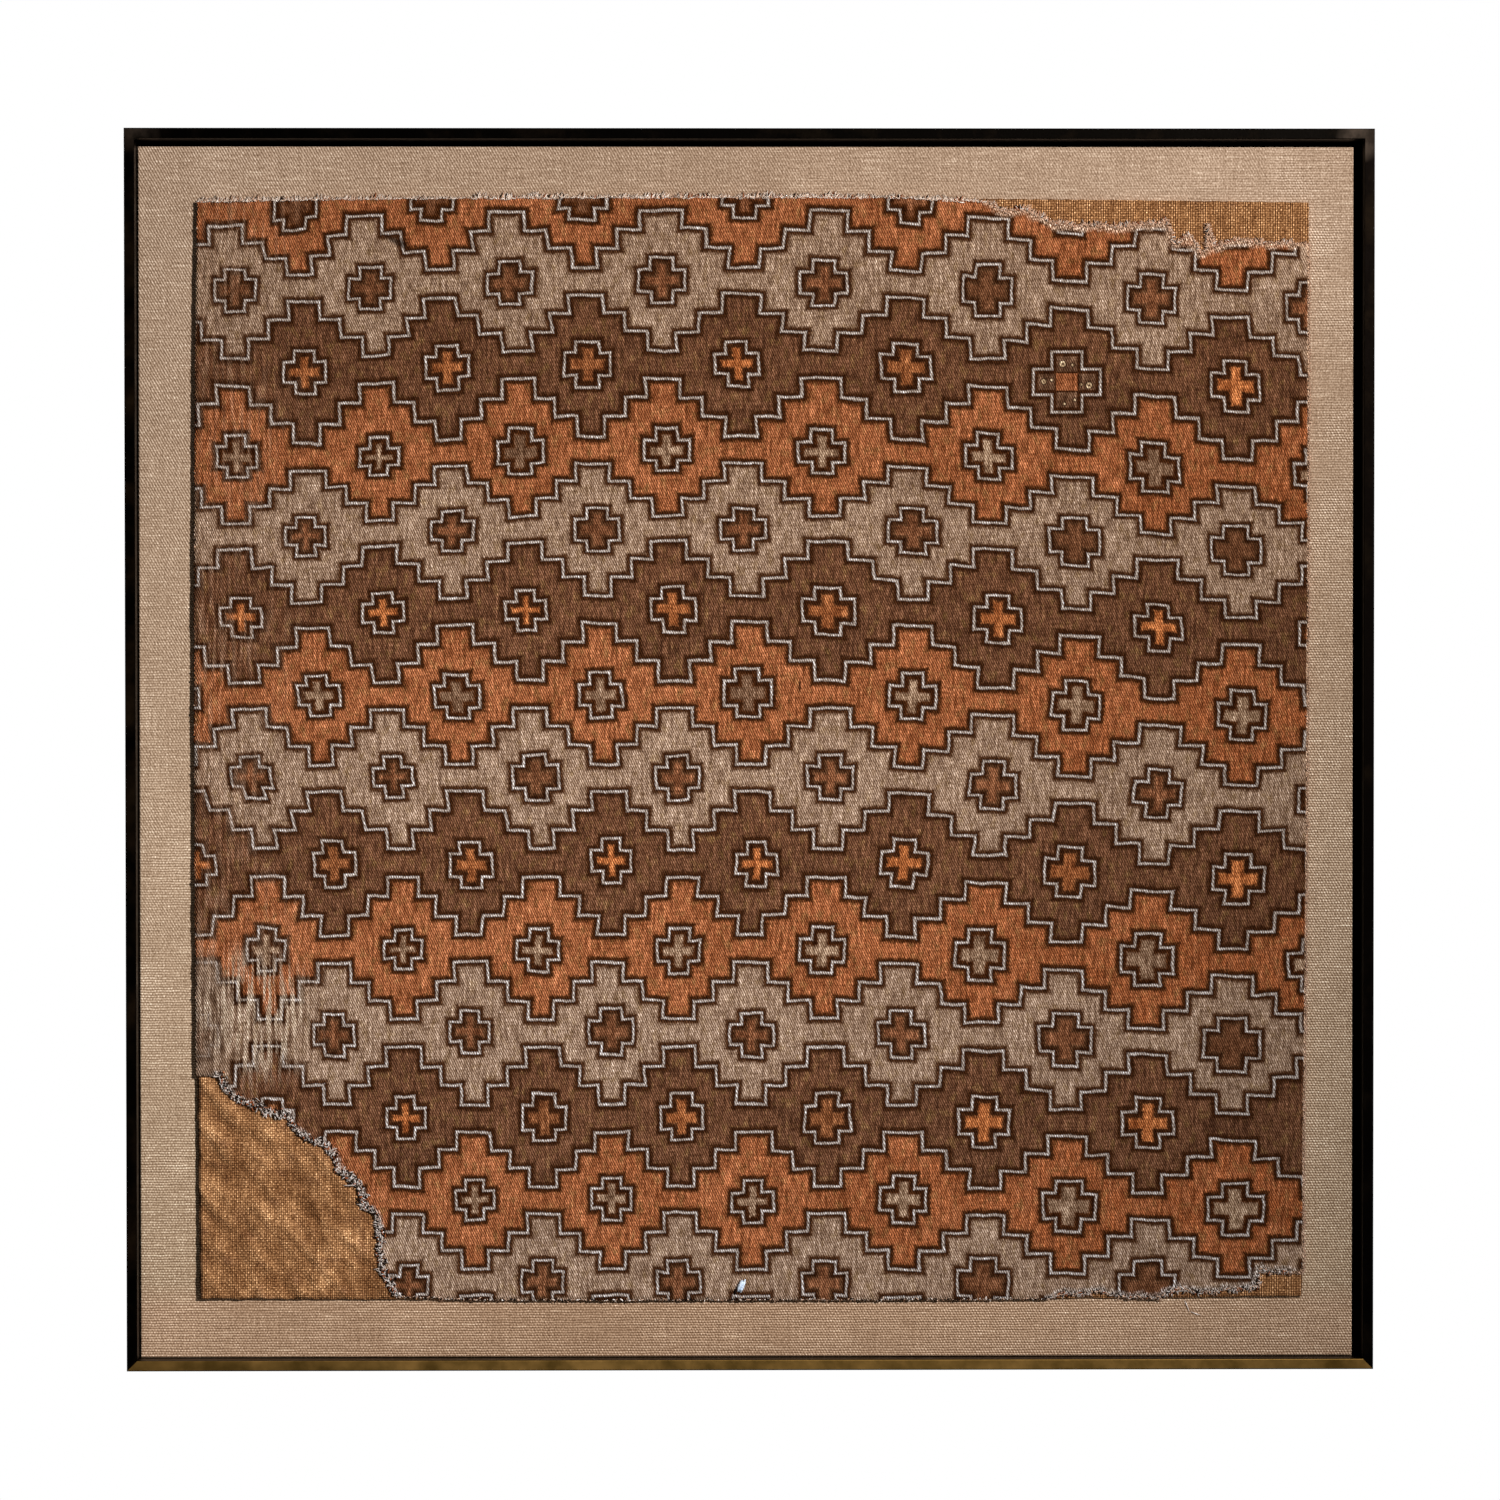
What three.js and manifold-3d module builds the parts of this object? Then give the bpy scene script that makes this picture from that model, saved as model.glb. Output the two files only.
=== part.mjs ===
// An old painted cloth, torn at three places, sewn to an ochre support cloth on a linen-covered
// board, in a slim patinated brass frame that hangs on a wall.
// Millimetres. +Z is up and +X is right; the wall is the plane Y = 0 and the cloth faces -Y.
// The origin is the middle of the top bar's rear face.
import * as THREE from "three";
import { mergeVertices } from "three/addons/utils/BufferGeometryUtils.js";
import Module from "manifold-3d";

// The frame: its outside size, and the section of its bars
const FRAME_W = 750;
const FRAME_H = 746;
const FACE = 6.35;
const BAR_DEPTH = 28.6;
const ARRIS = 0.5;
const LIP = 16;
const LIP_THICK = 3;

// Clearance between pieces that touch, and the room left around the linen-covered board
const GAP = 0.3;
const ROOM_LEFT = 0.5;
const ROOM_RIGHT = 4.8;
const ROOM_TOP = 3.3;

// The linen-covered board
const BOARD_THICK = 12;
const LINEN_FRONT = 1.5;
const LINEN_SIDE = 1.2;
const HEM_THICK = 1.0;
const HEM_WIDTH = 45;

// The two cloths, and the grid that their uneven faces are worked out on
const SUPPORT_THICK = 2.4;
const PAINTED_THICK = 1.2;
const GRID_SPAN = 690;
const GRID_CELLS = 26;
const CORNER_LIFT = 2.0;
const CORNER_REACH = 130;

// The unevenness of the faces: its height, and the lengths of its long and short waves over 2 pi
const UNEVEN = 0.3;
const LONG_WAVE = { x: 47, z: 61, share: 0.6 };
const SHORT_WAVE = { x: 19, z: 31, share: 0.4 };
const PAINTED_UNEVEN = 0.4;

// The cloths' edges at the corners, from the frame's centre, how far the right edge leans in at the
// bottom, and how far each edge bows out at its middle
const EDGE = { left: -331.5, right: 336.2, top: 329.5, bottom: -330.0 };
const RIGHT_LEAN = 3.3;
const BOW = { left: 2.6, right: 1.4, top: 2.6, bottom: 1.2 };
const BOW_ROWS = 8;

// The painted cloth reaches a little past the support cloth
const OVERHANG = 0.4;

// Steps along the cut edges and the torn edges, and how far they stand in or out
const EDGE_STEP = 14;
const EDGE_DEPTH = 0.5;
const TEAR_STEP = 3.6;
const TEAR_DEPTH = 2.2;
const JITTER = { step: 12.99, salt: 78.23, height: 43758.5 };

// The torn edges, from the frame's centre. Each runs the way the outline does: clockwise as seen
// from the front.
const TEAR_UPPER_RIGHT = [
  { x: 142, z: 329.5 },
  { x: 153, z: 324.5 },
  { x: 167, z: 326 },
  { x: 178, z: 318 },
  { x: 201, z: 316 },
  { x: 238, z: 315.5 },
  { x: 250, z: 319 },
  { x: 255, z: 305 },
  { x: 264, z: 310 },
  { x: 271, z: 300 },
  { x: 274.5, z: 302 },
  { x: 276, z: 316 },
  { x: 279, z: 303 },
  { x: 290, z: 306.5 },
  { x: 327, z: 304.5 },
];
const TEAR_LOWER_RIGHT = [
  { x: 326, z: -316 },
  { x: 307, z: -314 },
  { x: 305.5, z: -324.5 },
  { x: 281, z: -327 },
  { x: 264, z: -328 },
  { x: 259, z: -324.5 },
  { x: 248, z: -330 },
];
const TEAR_LOWER_LEFT = [
  { x: -215, z: -329 },
  { x: -224, z: -314 },
  { x: -226, z: -281 },
  { x: -234, z: -275 },
  { x: -236, z: -264 },
  { x: -249, z: -254 },
  { x: -252, z: -243 },
  { x: -273, z: -231 },
  { x: -281, z: -221 },
  { x: -293, z: -218 },
  { x: -308, z: -211 },
  { x: -318, z: -204 },
  { x: -322, z: -196 },
];

// The frame's bars: length, and the turn about the axis towards the viewer
const BARS = [
  { name: "frame_top", length: FRAME_W, half: FRAME_H / 2, turn: 0 },
  { name: "frame_right", length: FRAME_H, half: FRAME_W / 2, turn: 1 },
  { name: "frame_bottom", length: FRAME_W, half: FRAME_H / 2, turn: 2 },
  { name: "frame_left", length: FRAME_H, half: FRAME_W / 2, turn: 3 },
];

// Depths in front of the wall, from the rear forwards
const HEM_BACK = LIP_THICK + GAP;
const BOARD_BACK = HEM_BACK + HEM_THICK + GAP;
const BOARD_FRONT = BOARD_BACK + BOARD_THICK;
const LINEN_BACK = BOARD_FRONT + GAP;
const LINEN_FACE = LINEN_BACK + LINEN_FRONT;
const SUPPORT_BACK = LINEN_FACE + GAP;

// The covered board's edges, from the frame's centre. It stands on the bottom bar.
const PANEL = {
  left: -FRAME_W / 2 + FACE + ROOM_LEFT,
  right: FRAME_W / 2 - FACE - ROOM_RIGHT,
  top: FRAME_H / 2 - FACE - ROOM_TOP,
  bottom: -FRAME_H / 2 + FACE + GAP,
};

const wasm = await Module();
wasm.setup();

function toSolid(geometry) {
  geometry.deleteAttribute("normal");
  geometry.deleteAttribute("uv");
  const merged = mergeVertices(geometry, 1e-5);
  return new wasm.Manifold(
    new wasm.Mesh({
      numProp: 3,
      vertProperties: new Float32Array(merged.attributes.position.array),
      triVerts: new Uint32Array(merged.index.array),
    }),
  );
}

function toGeometry(solid) {
  const mesh = solid.getMesh();
  const geometry = new THREE.BufferGeometry();
  geometry.setAttribute("position", new THREE.BufferAttribute(mesh.vertProperties, 3));
  geometry.setIndex(new THREE.BufferAttribute(mesh.triVerts, 1));
  geometry.computeVertexNormals();
  return geometry;
}

function moveVertices(geometry, move) {
  const position = geometry.attributes.position;
  const point = new THREE.Vector3();
  for (let i = 0; i < position.count; i += 1) {
    point.fromBufferAttribute(position, i);
    move(point);
    position.setXYZ(i, point.x, point.y, point.z);
  }
  return geometry;
}

// A box between two depths in front of the wall, with its four edges moved in by a margin
function panelBox(back, front, margin) {
  const width = PANEL.right - PANEL.left - 2 * margin;
  const height = PANEL.top - PANEL.bottom - 2 * margin;
  const box = new THREE.BoxGeometry(width, front - back, height);
  box.translate((PANEL.left + PANEL.right) / 2, -(back + front) / 2, (PANEL.top + PANEL.bottom) / 2);
  return box;
}

function linenCover() {
  const outer = toSolid(panelBox(HEM_BACK, LINEN_FACE, 0));
  const inside = toSolid(panelBox(HEM_BACK + HEM_THICK, LINEN_BACK, LINEN_SIDE));
  const rear = toSolid(panelBox(HEM_BACK - 1, HEM_BACK + HEM_THICK + 1, HEM_WIDTH));
  return toGeometry(outer.subtract(inside).subtract(rear));
}

// One bar as the top bar lies: an angle section with eased front edges, mitred at both ends
function frameBar(length, half) {
  const section = new THREE.Shape();
  section.moveTo(0, 0);
  section.lineTo(FACE + LIP, 0);
  section.lineTo(FACE + LIP, LIP_THICK);
  section.lineTo(FACE, LIP_THICK);
  section.lineTo(FACE, BAR_DEPTH - ARRIS);
  section.lineTo(FACE - ARRIS, BAR_DEPTH);
  section.lineTo(ARRIS, BAR_DEPTH);
  section.lineTo(0, BAR_DEPTH - ARRIS);
  section.closePath();
  const bar = new THREE.ExtrudeGeometry(section, { depth: 2, bevelEnabled: false });
  const mitreGap = GAP / Math.SQRT2;
  moveVertices(bar, (p) => {
    const reach = length / 2 - p.x - mitreGap;
    p.set(p.z > 1 ? -reach : reach, -p.y, half - p.x);
  });
  return bar;
}

// Small uneven steps along an edge, the same on every run: the last digits of a large sine
function jitter(i, salt) {
  const wave = JITTER.height * Math.sin(JITTER.step * i + JITTER.salt * salt);
  return wave - Math.floor(wave) - 0.5;
}

// A line of points cut into short steps, each step moved a little off the line
function ragged(points, step, depth, salt) {
  const out = [];
  for (let i = 0; i + 1 < points.length; i += 1) {
    const from = new THREE.Vector2(points[i].x, points[i].z);
    const to = new THREE.Vector2(points[i + 1].x, points[i + 1].z);
    const along = to.clone().sub(from);
    const count = Math.max(1, Math.round(along.length() / step));
    const off = new THREE.Vector2(-along.y, along.x).normalize();
    for (let k = 0; k < count; k += 1) {
      const point = from.clone().lerp(to, k / count);
      out.push(point.addScaledVector(off, 2 * depth * jitter(out.length, salt)));
    }
  }
  return out;
}

// A straight edge of the cloth, bowed out at its middle
function bowedEdge(from, to, bow) {
  const points = [];
  const along = new THREE.Vector2(to.x - from.x, to.z - from.z);
  const out = new THREE.Vector2(-along.y, along.x).normalize();
  for (let k = 0; k <= BOW_ROWS; k += 1) {
    const t = k / BOW_ROWS;
    const swell = bow * 4 * t * (1 - t);
    points.push({ x: from.x + along.x * t + out.x * swell, z: from.z + along.y * t + out.y * swell });
  }
  return points;
}

function cornersOf(grow) {
  const left = EDGE.left - grow;
  const right = EDGE.right + grow;
  const top = EDGE.top + grow;
  const bottom = EDGE.bottom - grow;
  return [
    { x: left, z: top },
    { x: right, z: top },
    { x: right - RIGHT_LEAN, z: bottom },
    { x: left, z: bottom },
  ];
}

function supportOutline() {
  const [a, b, c, d] = cornersOf(0);
  return [
    ...ragged(bowedEdge(a, b, BOW.top), EDGE_STEP, EDGE_DEPTH, 1),
    ...ragged(bowedEdge(b, c, BOW.right), EDGE_STEP, EDGE_DEPTH, 2),
    ...ragged(bowedEdge(c, d, BOW.bottom), EDGE_STEP, EDGE_DEPTH, 3),
    ...ragged(bowedEdge(d, a, BOW.left), EDGE_STEP, EDGE_DEPTH, 4),
  ];
}

function paintedOutline() {
  const [a, b, c, d] = cornersOf(OVERHANG);
  const stripStart = TEAR_UPPER_RIGHT[0];
  const stripEnd = TEAR_UPPER_RIGHT.at(-1);
  const notchStart = TEAR_LOWER_RIGHT[0];
  const notchEnd = TEAR_LOWER_RIGHT.at(-1);
  const cornerStart = TEAR_LOWER_LEFT[0];
  const cornerEnd = TEAR_LOWER_LEFT.at(-1);
  const top = bowedEdge(a, b, BOW.top).filter((p) => p.x < stripStart.x);
  const right = bowedEdge(b, c, BOW.right).filter((p) => p.z < stripEnd.z && p.z > notchStart.z);
  const bottom = bowedEdge(c, d, BOW.bottom).filter((p) => p.x < notchEnd.x && p.x > cornerStart.x);
  const left = bowedEdge(d, a, BOW.left).filter((p) => p.z > cornerEnd.z);
  const rightTop = { x: right[0].x, z: stripEnd.z };
  const rightFoot = { x: right.at(-1).x, z: notchStart.z };
  const leftFoot = { x: left[0].x, z: cornerEnd.z };
  return [
    ...ragged([...top, stripStart], EDGE_STEP, EDGE_DEPTH, 5),
    ...ragged(TEAR_UPPER_RIGHT, TEAR_STEP, TEAR_DEPTH, 6),
    ...ragged([stripEnd, rightTop, ...right, rightFoot, notchStart], EDGE_STEP, EDGE_DEPTH, 7),
    ...ragged(TEAR_LOWER_RIGHT, TEAR_STEP, TEAR_DEPTH, 8),
    ...ragged([notchEnd, ...bottom, cornerStart], EDGE_STEP, EDGE_DEPTH, 9),
    ...ragged(TEAR_LOWER_LEFT, TEAR_STEP, TEAR_DEPTH, 10),
    ...ragged([cornerEnd, leftFoot, ...left], EDGE_STEP, EDGE_DEPTH, 11),
  ];
}

// How far the lower left corner of the support cloth stands off the linen
function lift(x, z) {
  const away = Math.hypot(x - EDGE.left, z - EDGE.bottom) / CORNER_REACH;
  return CORNER_LIFT * Math.max(0, 1 - away) ** 2;
}

// The soft unevenness of cloth that is sewn down by hand
function swell(x, z) {
  const long = Math.sin(x / LONG_WAVE.x) * Math.cos(z / LONG_WAVE.z);
  const short = Math.sin(x / SHORT_WAVE.x) * Math.sin(z / SHORT_WAVE.z);
  return UNEVEN * (1 + LONG_WAVE.share * long + SHORT_WAVE.share * short);
}

// A sheet between two uneven faces, cut to an outline by a prism
function clothSheet(outline, backDepth, frontDepth) {
  const slab = new THREE.BoxGeometry(GRID_SPAN, 2, GRID_SPAN, GRID_CELLS, 1, GRID_CELLS);
  moveVertices(slab, (p) => {
    p.y = p.y < 0 ? -frontDepth(p.x, p.z) : -backDepth(p.x, p.z);
  });
  const shape = new THREE.Shape(outline);
  const prism = new THREE.ExtrudeGeometry(shape, { depth: 2 * BAR_DEPTH, bevelEnabled: false });
  prism.rotateX(Math.PI / 2);
  return toGeometry(toSolid(slab).intersect(toSolid(prism)));
}

function supportFront(x, z) {
  return SUPPORT_BACK + SUPPORT_THICK + lift(x, z) + swell(x, z);
}

function supportCloth() {
  return clothSheet(supportOutline(), (x, z) => SUPPORT_BACK + lift(x, z), supportFront);
}

function paintedCloth() {
  const back = (x, z) => supportFront(x, z) + GAP;
  const front = (x, z) => back(x, z) + PAINTED_THICK + PAINTED_UNEVEN * swell(z, x);
  return clothSheet(paintedOutline(), back, front);
}

const brass = { color: 0x1c1712, roughness: 0.42, metalness: 1 };
const linen = { color: 0xb8a083, roughness: 0.95, metalness: 0 };
const board = { color: 0xc9b48f, roughness: 0.8, metalness: 0 };
const ochre = { color: 0xa9763a, roughness: 0.95, metalness: 0 };
const painted = { color: 0x8a5a3a, roughness: 0.95, metalness: 0 };

function piece(name, geometry, look) {
  const mesh = new THREE.Mesh(geometry, new THREE.MeshStandardMaterial(look));
  mesh.name = name;
  return mesh;
}

// The whole, built about the frame's centre and then hung from the origin
const framedCloth = new THREE.Group();
for (const { name, length, half, turn } of BARS) {
  const bar = piece(name, frameBar(length, half), brass);
  bar.rotation.y = (turn * Math.PI) / 2;
  framedCloth.add(bar);
}
framedCloth.add(piece("backing_board", panelBox(BOARD_BACK, BOARD_FRONT, LINEN_SIDE + GAP), board));
framedCloth.add(piece("linen_cover", linenCover(), linen));
framedCloth.add(piece("support_cloth", supportCloth(), ochre));
framedCloth.add(piece("painted_cloth", paintedCloth(), painted));
framedCloth.position.z = (FACE + LIP) / 2 - FRAME_H / 2;

const part = new THREE.Group();
part.add(framedCloth);

export default part;
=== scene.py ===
# %% [markdown]
# # An old painted cloth, mounted on linen in a slim brass frame
#
# The real object is a flat stack on a wall: a painted plain-weave cloth, torn at three places, is
# sewn to an ochre support cloth, both lie on linen that is stretched over a board, and four dark
# brass bars go round it. This lesson loads the imported CAD model, keeps its board, makes the
# brass bars again, and makes the three cloths again with their weave, their paint and their loose
# yarns.

import math

import bpy
import mathutils
import numpy as np
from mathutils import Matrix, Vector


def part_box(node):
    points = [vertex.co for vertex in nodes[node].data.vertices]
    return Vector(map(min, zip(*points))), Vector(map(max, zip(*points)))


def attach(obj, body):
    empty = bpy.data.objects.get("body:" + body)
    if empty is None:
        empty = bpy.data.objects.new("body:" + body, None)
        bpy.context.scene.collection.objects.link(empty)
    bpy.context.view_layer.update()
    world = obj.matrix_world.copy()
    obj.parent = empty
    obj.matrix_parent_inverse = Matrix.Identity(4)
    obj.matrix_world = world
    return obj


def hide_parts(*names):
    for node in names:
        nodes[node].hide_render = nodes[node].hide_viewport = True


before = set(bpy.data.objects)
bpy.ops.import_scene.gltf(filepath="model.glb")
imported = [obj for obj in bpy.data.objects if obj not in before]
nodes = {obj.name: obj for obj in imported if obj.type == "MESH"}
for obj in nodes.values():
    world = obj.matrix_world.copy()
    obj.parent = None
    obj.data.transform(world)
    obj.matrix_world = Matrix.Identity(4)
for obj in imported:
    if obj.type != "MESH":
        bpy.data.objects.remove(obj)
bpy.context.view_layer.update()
print("CAD nodes:", sorted(nodes))

# %% [markdown]
# ## Sizes
#
# Every size is in millimetres here and turns into metres in one place, so that a thread spacing
# can be read as it would be measured. The frame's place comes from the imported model, and depths
# count forwards from the wall.

# %% Sizes that the pieces share
MM = 0.001

frame_low, frame_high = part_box("frame_left")
CENTRE_HEIGHT = (frame_low.z + frame_high.z) / 2 / MM

panel_low, panel_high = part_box("linen_cover")
PANEL_LEFT = panel_low.x / MM
PANEL_RIGHT = panel_high.x / MM
PANEL_TOP = panel_high.z / MM - CENTRE_HEIGHT
PANEL_BOTTOM = panel_low.z / MM - CENTRE_HEIGHT
LINEN_FACE = -panel_low.y / MM
HEM_BACK = -panel_high.y / MM

GAP = 0.3
SUPPORT_BACK = LINEN_FACE + GAP
SUPPORT_THICK = 2.4
PAINTED_THICK = 1.2
print("linen face", round(LINEN_FACE, 2), "mm in front of the wall")


def in_frame(across, depth, up):
    """Points in metres from millimetres across, in front of the wall, and up from the centre."""
    across, depth, up = np.broadcast_arrays(across, depth, up)
    return np.stack([across, -depth, up + CENTRE_HEIGHT], axis=-1) * MM


def smooth(low, high, value):
    """A soft step from 0 at low to 1 at high."""
    t = np.clip((value - low) / (high - low), 0, 1)
    return t * t * (3 - 2 * t)


# %% [markdown]
# ## Camera
#
# The photograph was taken square on, from a few steps away. The four outer corners of the frame
# fix the camera: it stands slightly above and to the left of the middle and looks a little down,
# which makes the top of the frame a touch wider than its foot.

# %% Camera
camera = bpy.data.objects.new("camera", bpy.data.cameras.new("camera"))
camera.data.lens = 94.8
camera.location = (-0.0207, -2.4, -0.3299)
camera.rotation_euler = (math.radians(90 - 0.764), math.radians(0.032), math.radians(-0.494))
bpy.context.scene.collection.objects.link(camera)
bpy.context.scene.camera = camera
print("camera", round(-camera.location.y, 2), "m in front of the wall")

# %% [markdown]
# ## Light
#
# Two soft-edged lamps stand close together at the upper right, as the short shadows to the left
# and below show. One reaches the upper right of the cloth and one the lower left, so a band of
# light runs across it and two corners stay dim. Two large lamps behind the frame only matter for
# a look at its back. The fill is weak, and the world is white where the camera sees it.

# %% Colour and nodes


def linear(colour):
    """An sRGB hex colour as the linear values that Blender reckons with."""
    parts = [int(colour[i:i + 2], 16) / 255 for i in (1, 3, 5)]
    return (*(c / 12.92 if c <= 0.04045 else ((c + 0.055) / 1.055) ** 2.4 for c in parts), 1.0)


def add(tree, kind, *inputs, **settings):
    """One shader node: its kind and operation, its inputs in order, and settings by name."""
    kind, _, operation = kind.partition(" ")
    node = tree.nodes.new("ShaderNode" + kind)
    if operation:
        setattr(node, "blend_type" if kind == "MixRGB" else "operation", operation)
    named = []
    for name, value in settings.items():
        if hasattr(node, name):
            setattr(node, name, value)
        else:
            named.append((node.inputs[name.replace("_", " ")], value))
    for socket, value in [*zip([s for s in node.inputs if s.enabled], inputs), *named]:
        if isinstance(value, bpy.types.Node):
            value = next(s for s in value.outputs if s.enabled)
        if isinstance(value, bpy.types.NodeSocket):
            tree.links.new(value, socket)
        else:
            socket.default_value = linear(value) if isinstance(value, str) else value
    return node


# %% Lamps and world
CENTRE = mathutils.Vector((0, 0, CENTRE_HEIGHT * MM))
LAMP_WAY = mathutils.Vector((0.55, -1, 0.33)).normalized()
LAMP_DISTANCE = 3.4
LAMP_RADIUS = 0.12
REAR_LAMP_SIZE = 1.2
FILL = 0.05


def hang_lamp(name, kind, place, aim, watts, **settings):
    """A lamp at a place, turned towards a point."""
    light = bpy.data.lights.new(name, kind)
    light.energy = watts
    for setting, value in settings.items():
        setattr(light, setting, value)
    holder = bpy.data.objects.new(name, light)
    holder.location = place
    holder.rotation_euler = (aim - holder.location).to_track_quat("-Z", "Y").to_euler()
    bpy.context.scene.collection.objects.link(holder)


# Each lamp's aim is across and up from the middle, in metres, and its cone is in degrees
for name, aim, cone, watts, colour in (
    ("lamp_right", (0.05, 0, 0.745), 40.8, 486, "#fff9f4"),
    ("lamp_left", (-0.49, 0, -0.80), 33.5, 505, "#fcfcff"),
):
    hang_lamp(
        name, "SPOT", CENTRE + LAMP_WAY * LAMP_DISTANCE, CENTRE + mathutils.Vector(aim), watts,
        spot_size=math.radians(cone), spot_blend=1.0, shadow_soft_size=LAMP_RADIUS,
        color=linear(colour)[:3],
    )
for name, place, watts in (
    ("rear_lamp_left", (-2.2, 2.4, 0.9), 55),
    ("rear_lamp_right", (2.4, 2.0, 1.2), 40),
):
    hang_lamp(name, "AREA", CENTRE + mathutils.Vector(place), CENTRE, watts, size=REAR_LAMP_SIZE)

world = bpy.data.worlds.new("studio")
bpy.context.scene.world = world
world.use_nodes = True
world.node_tree.nodes.clear()
seen = add(world.node_tree, "LightPath")
paper = add(world.node_tree, "Background", "#ffffff", 1.0)
fill = add(world.node_tree, "Background", "#fff2e2", FILL)
sky = add(world.node_tree, "MixShader", seen.outputs["Is Camera Ray"], fill, paper)
add(world.node_tree, "OutputWorld", sky)
bpy.context.scene.view_settings.view_transform = "Standard"
print("lamps:", sorted(light.name for light in bpy.data.lights))

# %% [markdown]
# ## Helpers for materials and meshes
#
# Every finish here is one Principled shader with a colour and mostly a relief, so one helper
# starts a material and one links its surface. Masks come up everywhere: a value, such as the
# distance to an edge, goes from one end to the other, and one colour gives way to the next.

# %% Materials


def new_material(name, **settings):
    """A material, and its node tree and its Principled shader to build on."""
    material = bpy.data.materials.new(name)
    material.use_nodes = True
    tree = material.node_tree
    tree.nodes.clear()
    shader = add(tree, "BsdfPrincipled", **settings)
    add(tree, "OutputMaterial", shader)
    return material, tree, shader


def surface(tree, shader, colour, height=None, depth=0.0, strength=1.0):
    """Links a colour to the shader, and a relief with its depth in millimetres."""
    tree.links.new(colour.outputs[0], shader.inputs["Base Color"])
    if height is not None:
        bump = add(tree, "Bump", Strength=strength, Distance=depth * MM, Height=height)
        tree.links.new(bump.outputs[0], shader.inputs["Normal"])


def cover(tree, under, value, bare, full, strength, colour):
    """A colour over another: none of it where a value is at bare, its full strength at full."""
    amount = add(tree, "MapRange", value, bare, full, 0.0, strength)
    return add(tree, "MixRGB", amount, under, colour)


def on_map(tree, map_name):
    """A map's place as a vector, and its two numbers."""
    place = add(tree, "UVMap", uv_map=map_name)
    split = add(tree, "SeparateXYZ", place)
    return place, split.outputs["X"], split.outputs["Y"]


# %% A mesh with named maps


def make_piece(name, points, faces, maps=None):
    """A mesh object from points in metres. Each map holds two numbers for each face corner."""
    mesh = bpy.data.meshes.new(name)
    mesh.from_pydata([tuple(p) for p in points], [], faces)
    for map_name, values in (maps or {}).items():
        layer = mesh.uv_layers.new(name=map_name, do_init=False)
        layer.data.foreach_set("uv", np.asarray(values, dtype=np.float32).ravel())
    mesh.polygons.foreach_set("use_smooth", [True] * len(mesh.polygons))
    mesh.update()
    piece = bpy.data.objects.new(name, mesh)
    bpy.context.scene.collection.objects.link(piece)
    return piece


# %% The studio floor
FLOOR_BELOW = 1.5
FLOOR_HALF = 2.6
floor_mesh = bpy.data.meshes.new("floor")
floor_corners = [(-1, -1), (1, -1), (1, 1), (-1, 1)]
floor_mesh.from_pydata(
    [(x * FLOOR_HALF, y * FLOOR_HALF, CENTRE.z - FLOOR_BELOW) for x, y in floor_corners],
    [],
    [(0, 1, 2, 3)],
)
floor = bpy.data.objects.new("floor", floor_mesh)
bpy.context.scene.collection.objects.link(floor)

painted_floor, tree, shader = new_material("matt studio floor", Roughness=0.9)
cloudy = add(tree, "TexNoise", Scale=3.0)
surface(tree, shader, add(tree, "MixRGB", cloudy, "#e9e7e3", "#f1efec"))
floor.data.materials.append(painted_floor)
print("floor", FLOOR_BELOW, "m below the middle of the frame")

# %% [markdown]
# ## The brass bars
#
# The frame is brass angle, mitred at the corners and brazed. The CAD bars leave a clearance of
# 0.3 mm at each mitre, where the light behind would shine through, so the bars are made again
# here with closed mitres and softly rounded arrises: one section, swept along each side, its
# ends cut at 45 degrees by making every line of the section as long as its own distance allows.
# The faces stay flat, because every edge of more than 12 degrees is marked as sharp.

# %% Bars
FRAME_W = 750.0
FRAME_H = 746.0
FACE = 6.35
BAR_DEPTH = 28.6
ARRIS = 0.5
LIP = 16.0
LIP_THICK = 3.0
BAR_STATIONS = 40
SHARP = math.radians(12)

square_part = BAR_DEPTH - ARRIS
turns = np.radians([0, 30, 60, 90])
section = [(0.0, 0.0), (FACE + LIP, 0.0), (FACE + LIP, LIP_THICK), (FACE, LIP_THICK)]
section += [(FACE - ARRIS + ARRIS * math.cos(a), square_part + ARRIS * math.sin(a)) for a in turns]
section += [(ARRIS - ARRIS * math.sin(a), square_part + ARRIS * math.cos(a)) for a in turns]
section = np.array(section)


def brass_bar(name, length, half, quarter_turns):
    """A mitred bar of the frame, made as the top bar and turned clockwise to its own side."""
    run = np.linspace(-1, 1, BAR_STATIONS + 1)[:, None]
    x = run * (length / 2 - section[:, 0])
    z = np.broadcast_to(half - section[:, 0], x.shape)
    for _ in range(quarter_turns):
        x, z = z, -x
    points = in_frame(x, section[:, 1], z).reshape(-1, 3)
    n = len(section)
    faces = [
        (a * n + k, (a + 1) * n + k, (a + 1) * n + (k + 1) % n, a * n + (k + 1) % n)
        for a in range(BAR_STATIONS)
        for k in range(n)
    ]
    faces += [tuple(range(n)), tuple(range(BAR_STATIONS * n + n - 1, BAR_STATIONS * n - 1, -1))]
    bar = make_piece(name, points, faces)
    bar.data.set_sharp_from_angle(angle=SHARP)
    return bar


bars = {
    "frame_top": brass_bar("brass_bar_top", FRAME_W, FRAME_H / 2, 0),
    "frame_right": brass_bar("brass_bar_right", FRAME_H, FRAME_W / 2, 1),
    "frame_bottom": brass_bar("brass_bar_bottom", FRAME_W, FRAME_H / 2, 2),
    "frame_left": brass_bar("brass_bar_left", FRAME_H, FRAME_W / 2, 3),
}
print("bars:", sorted(bars))
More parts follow.
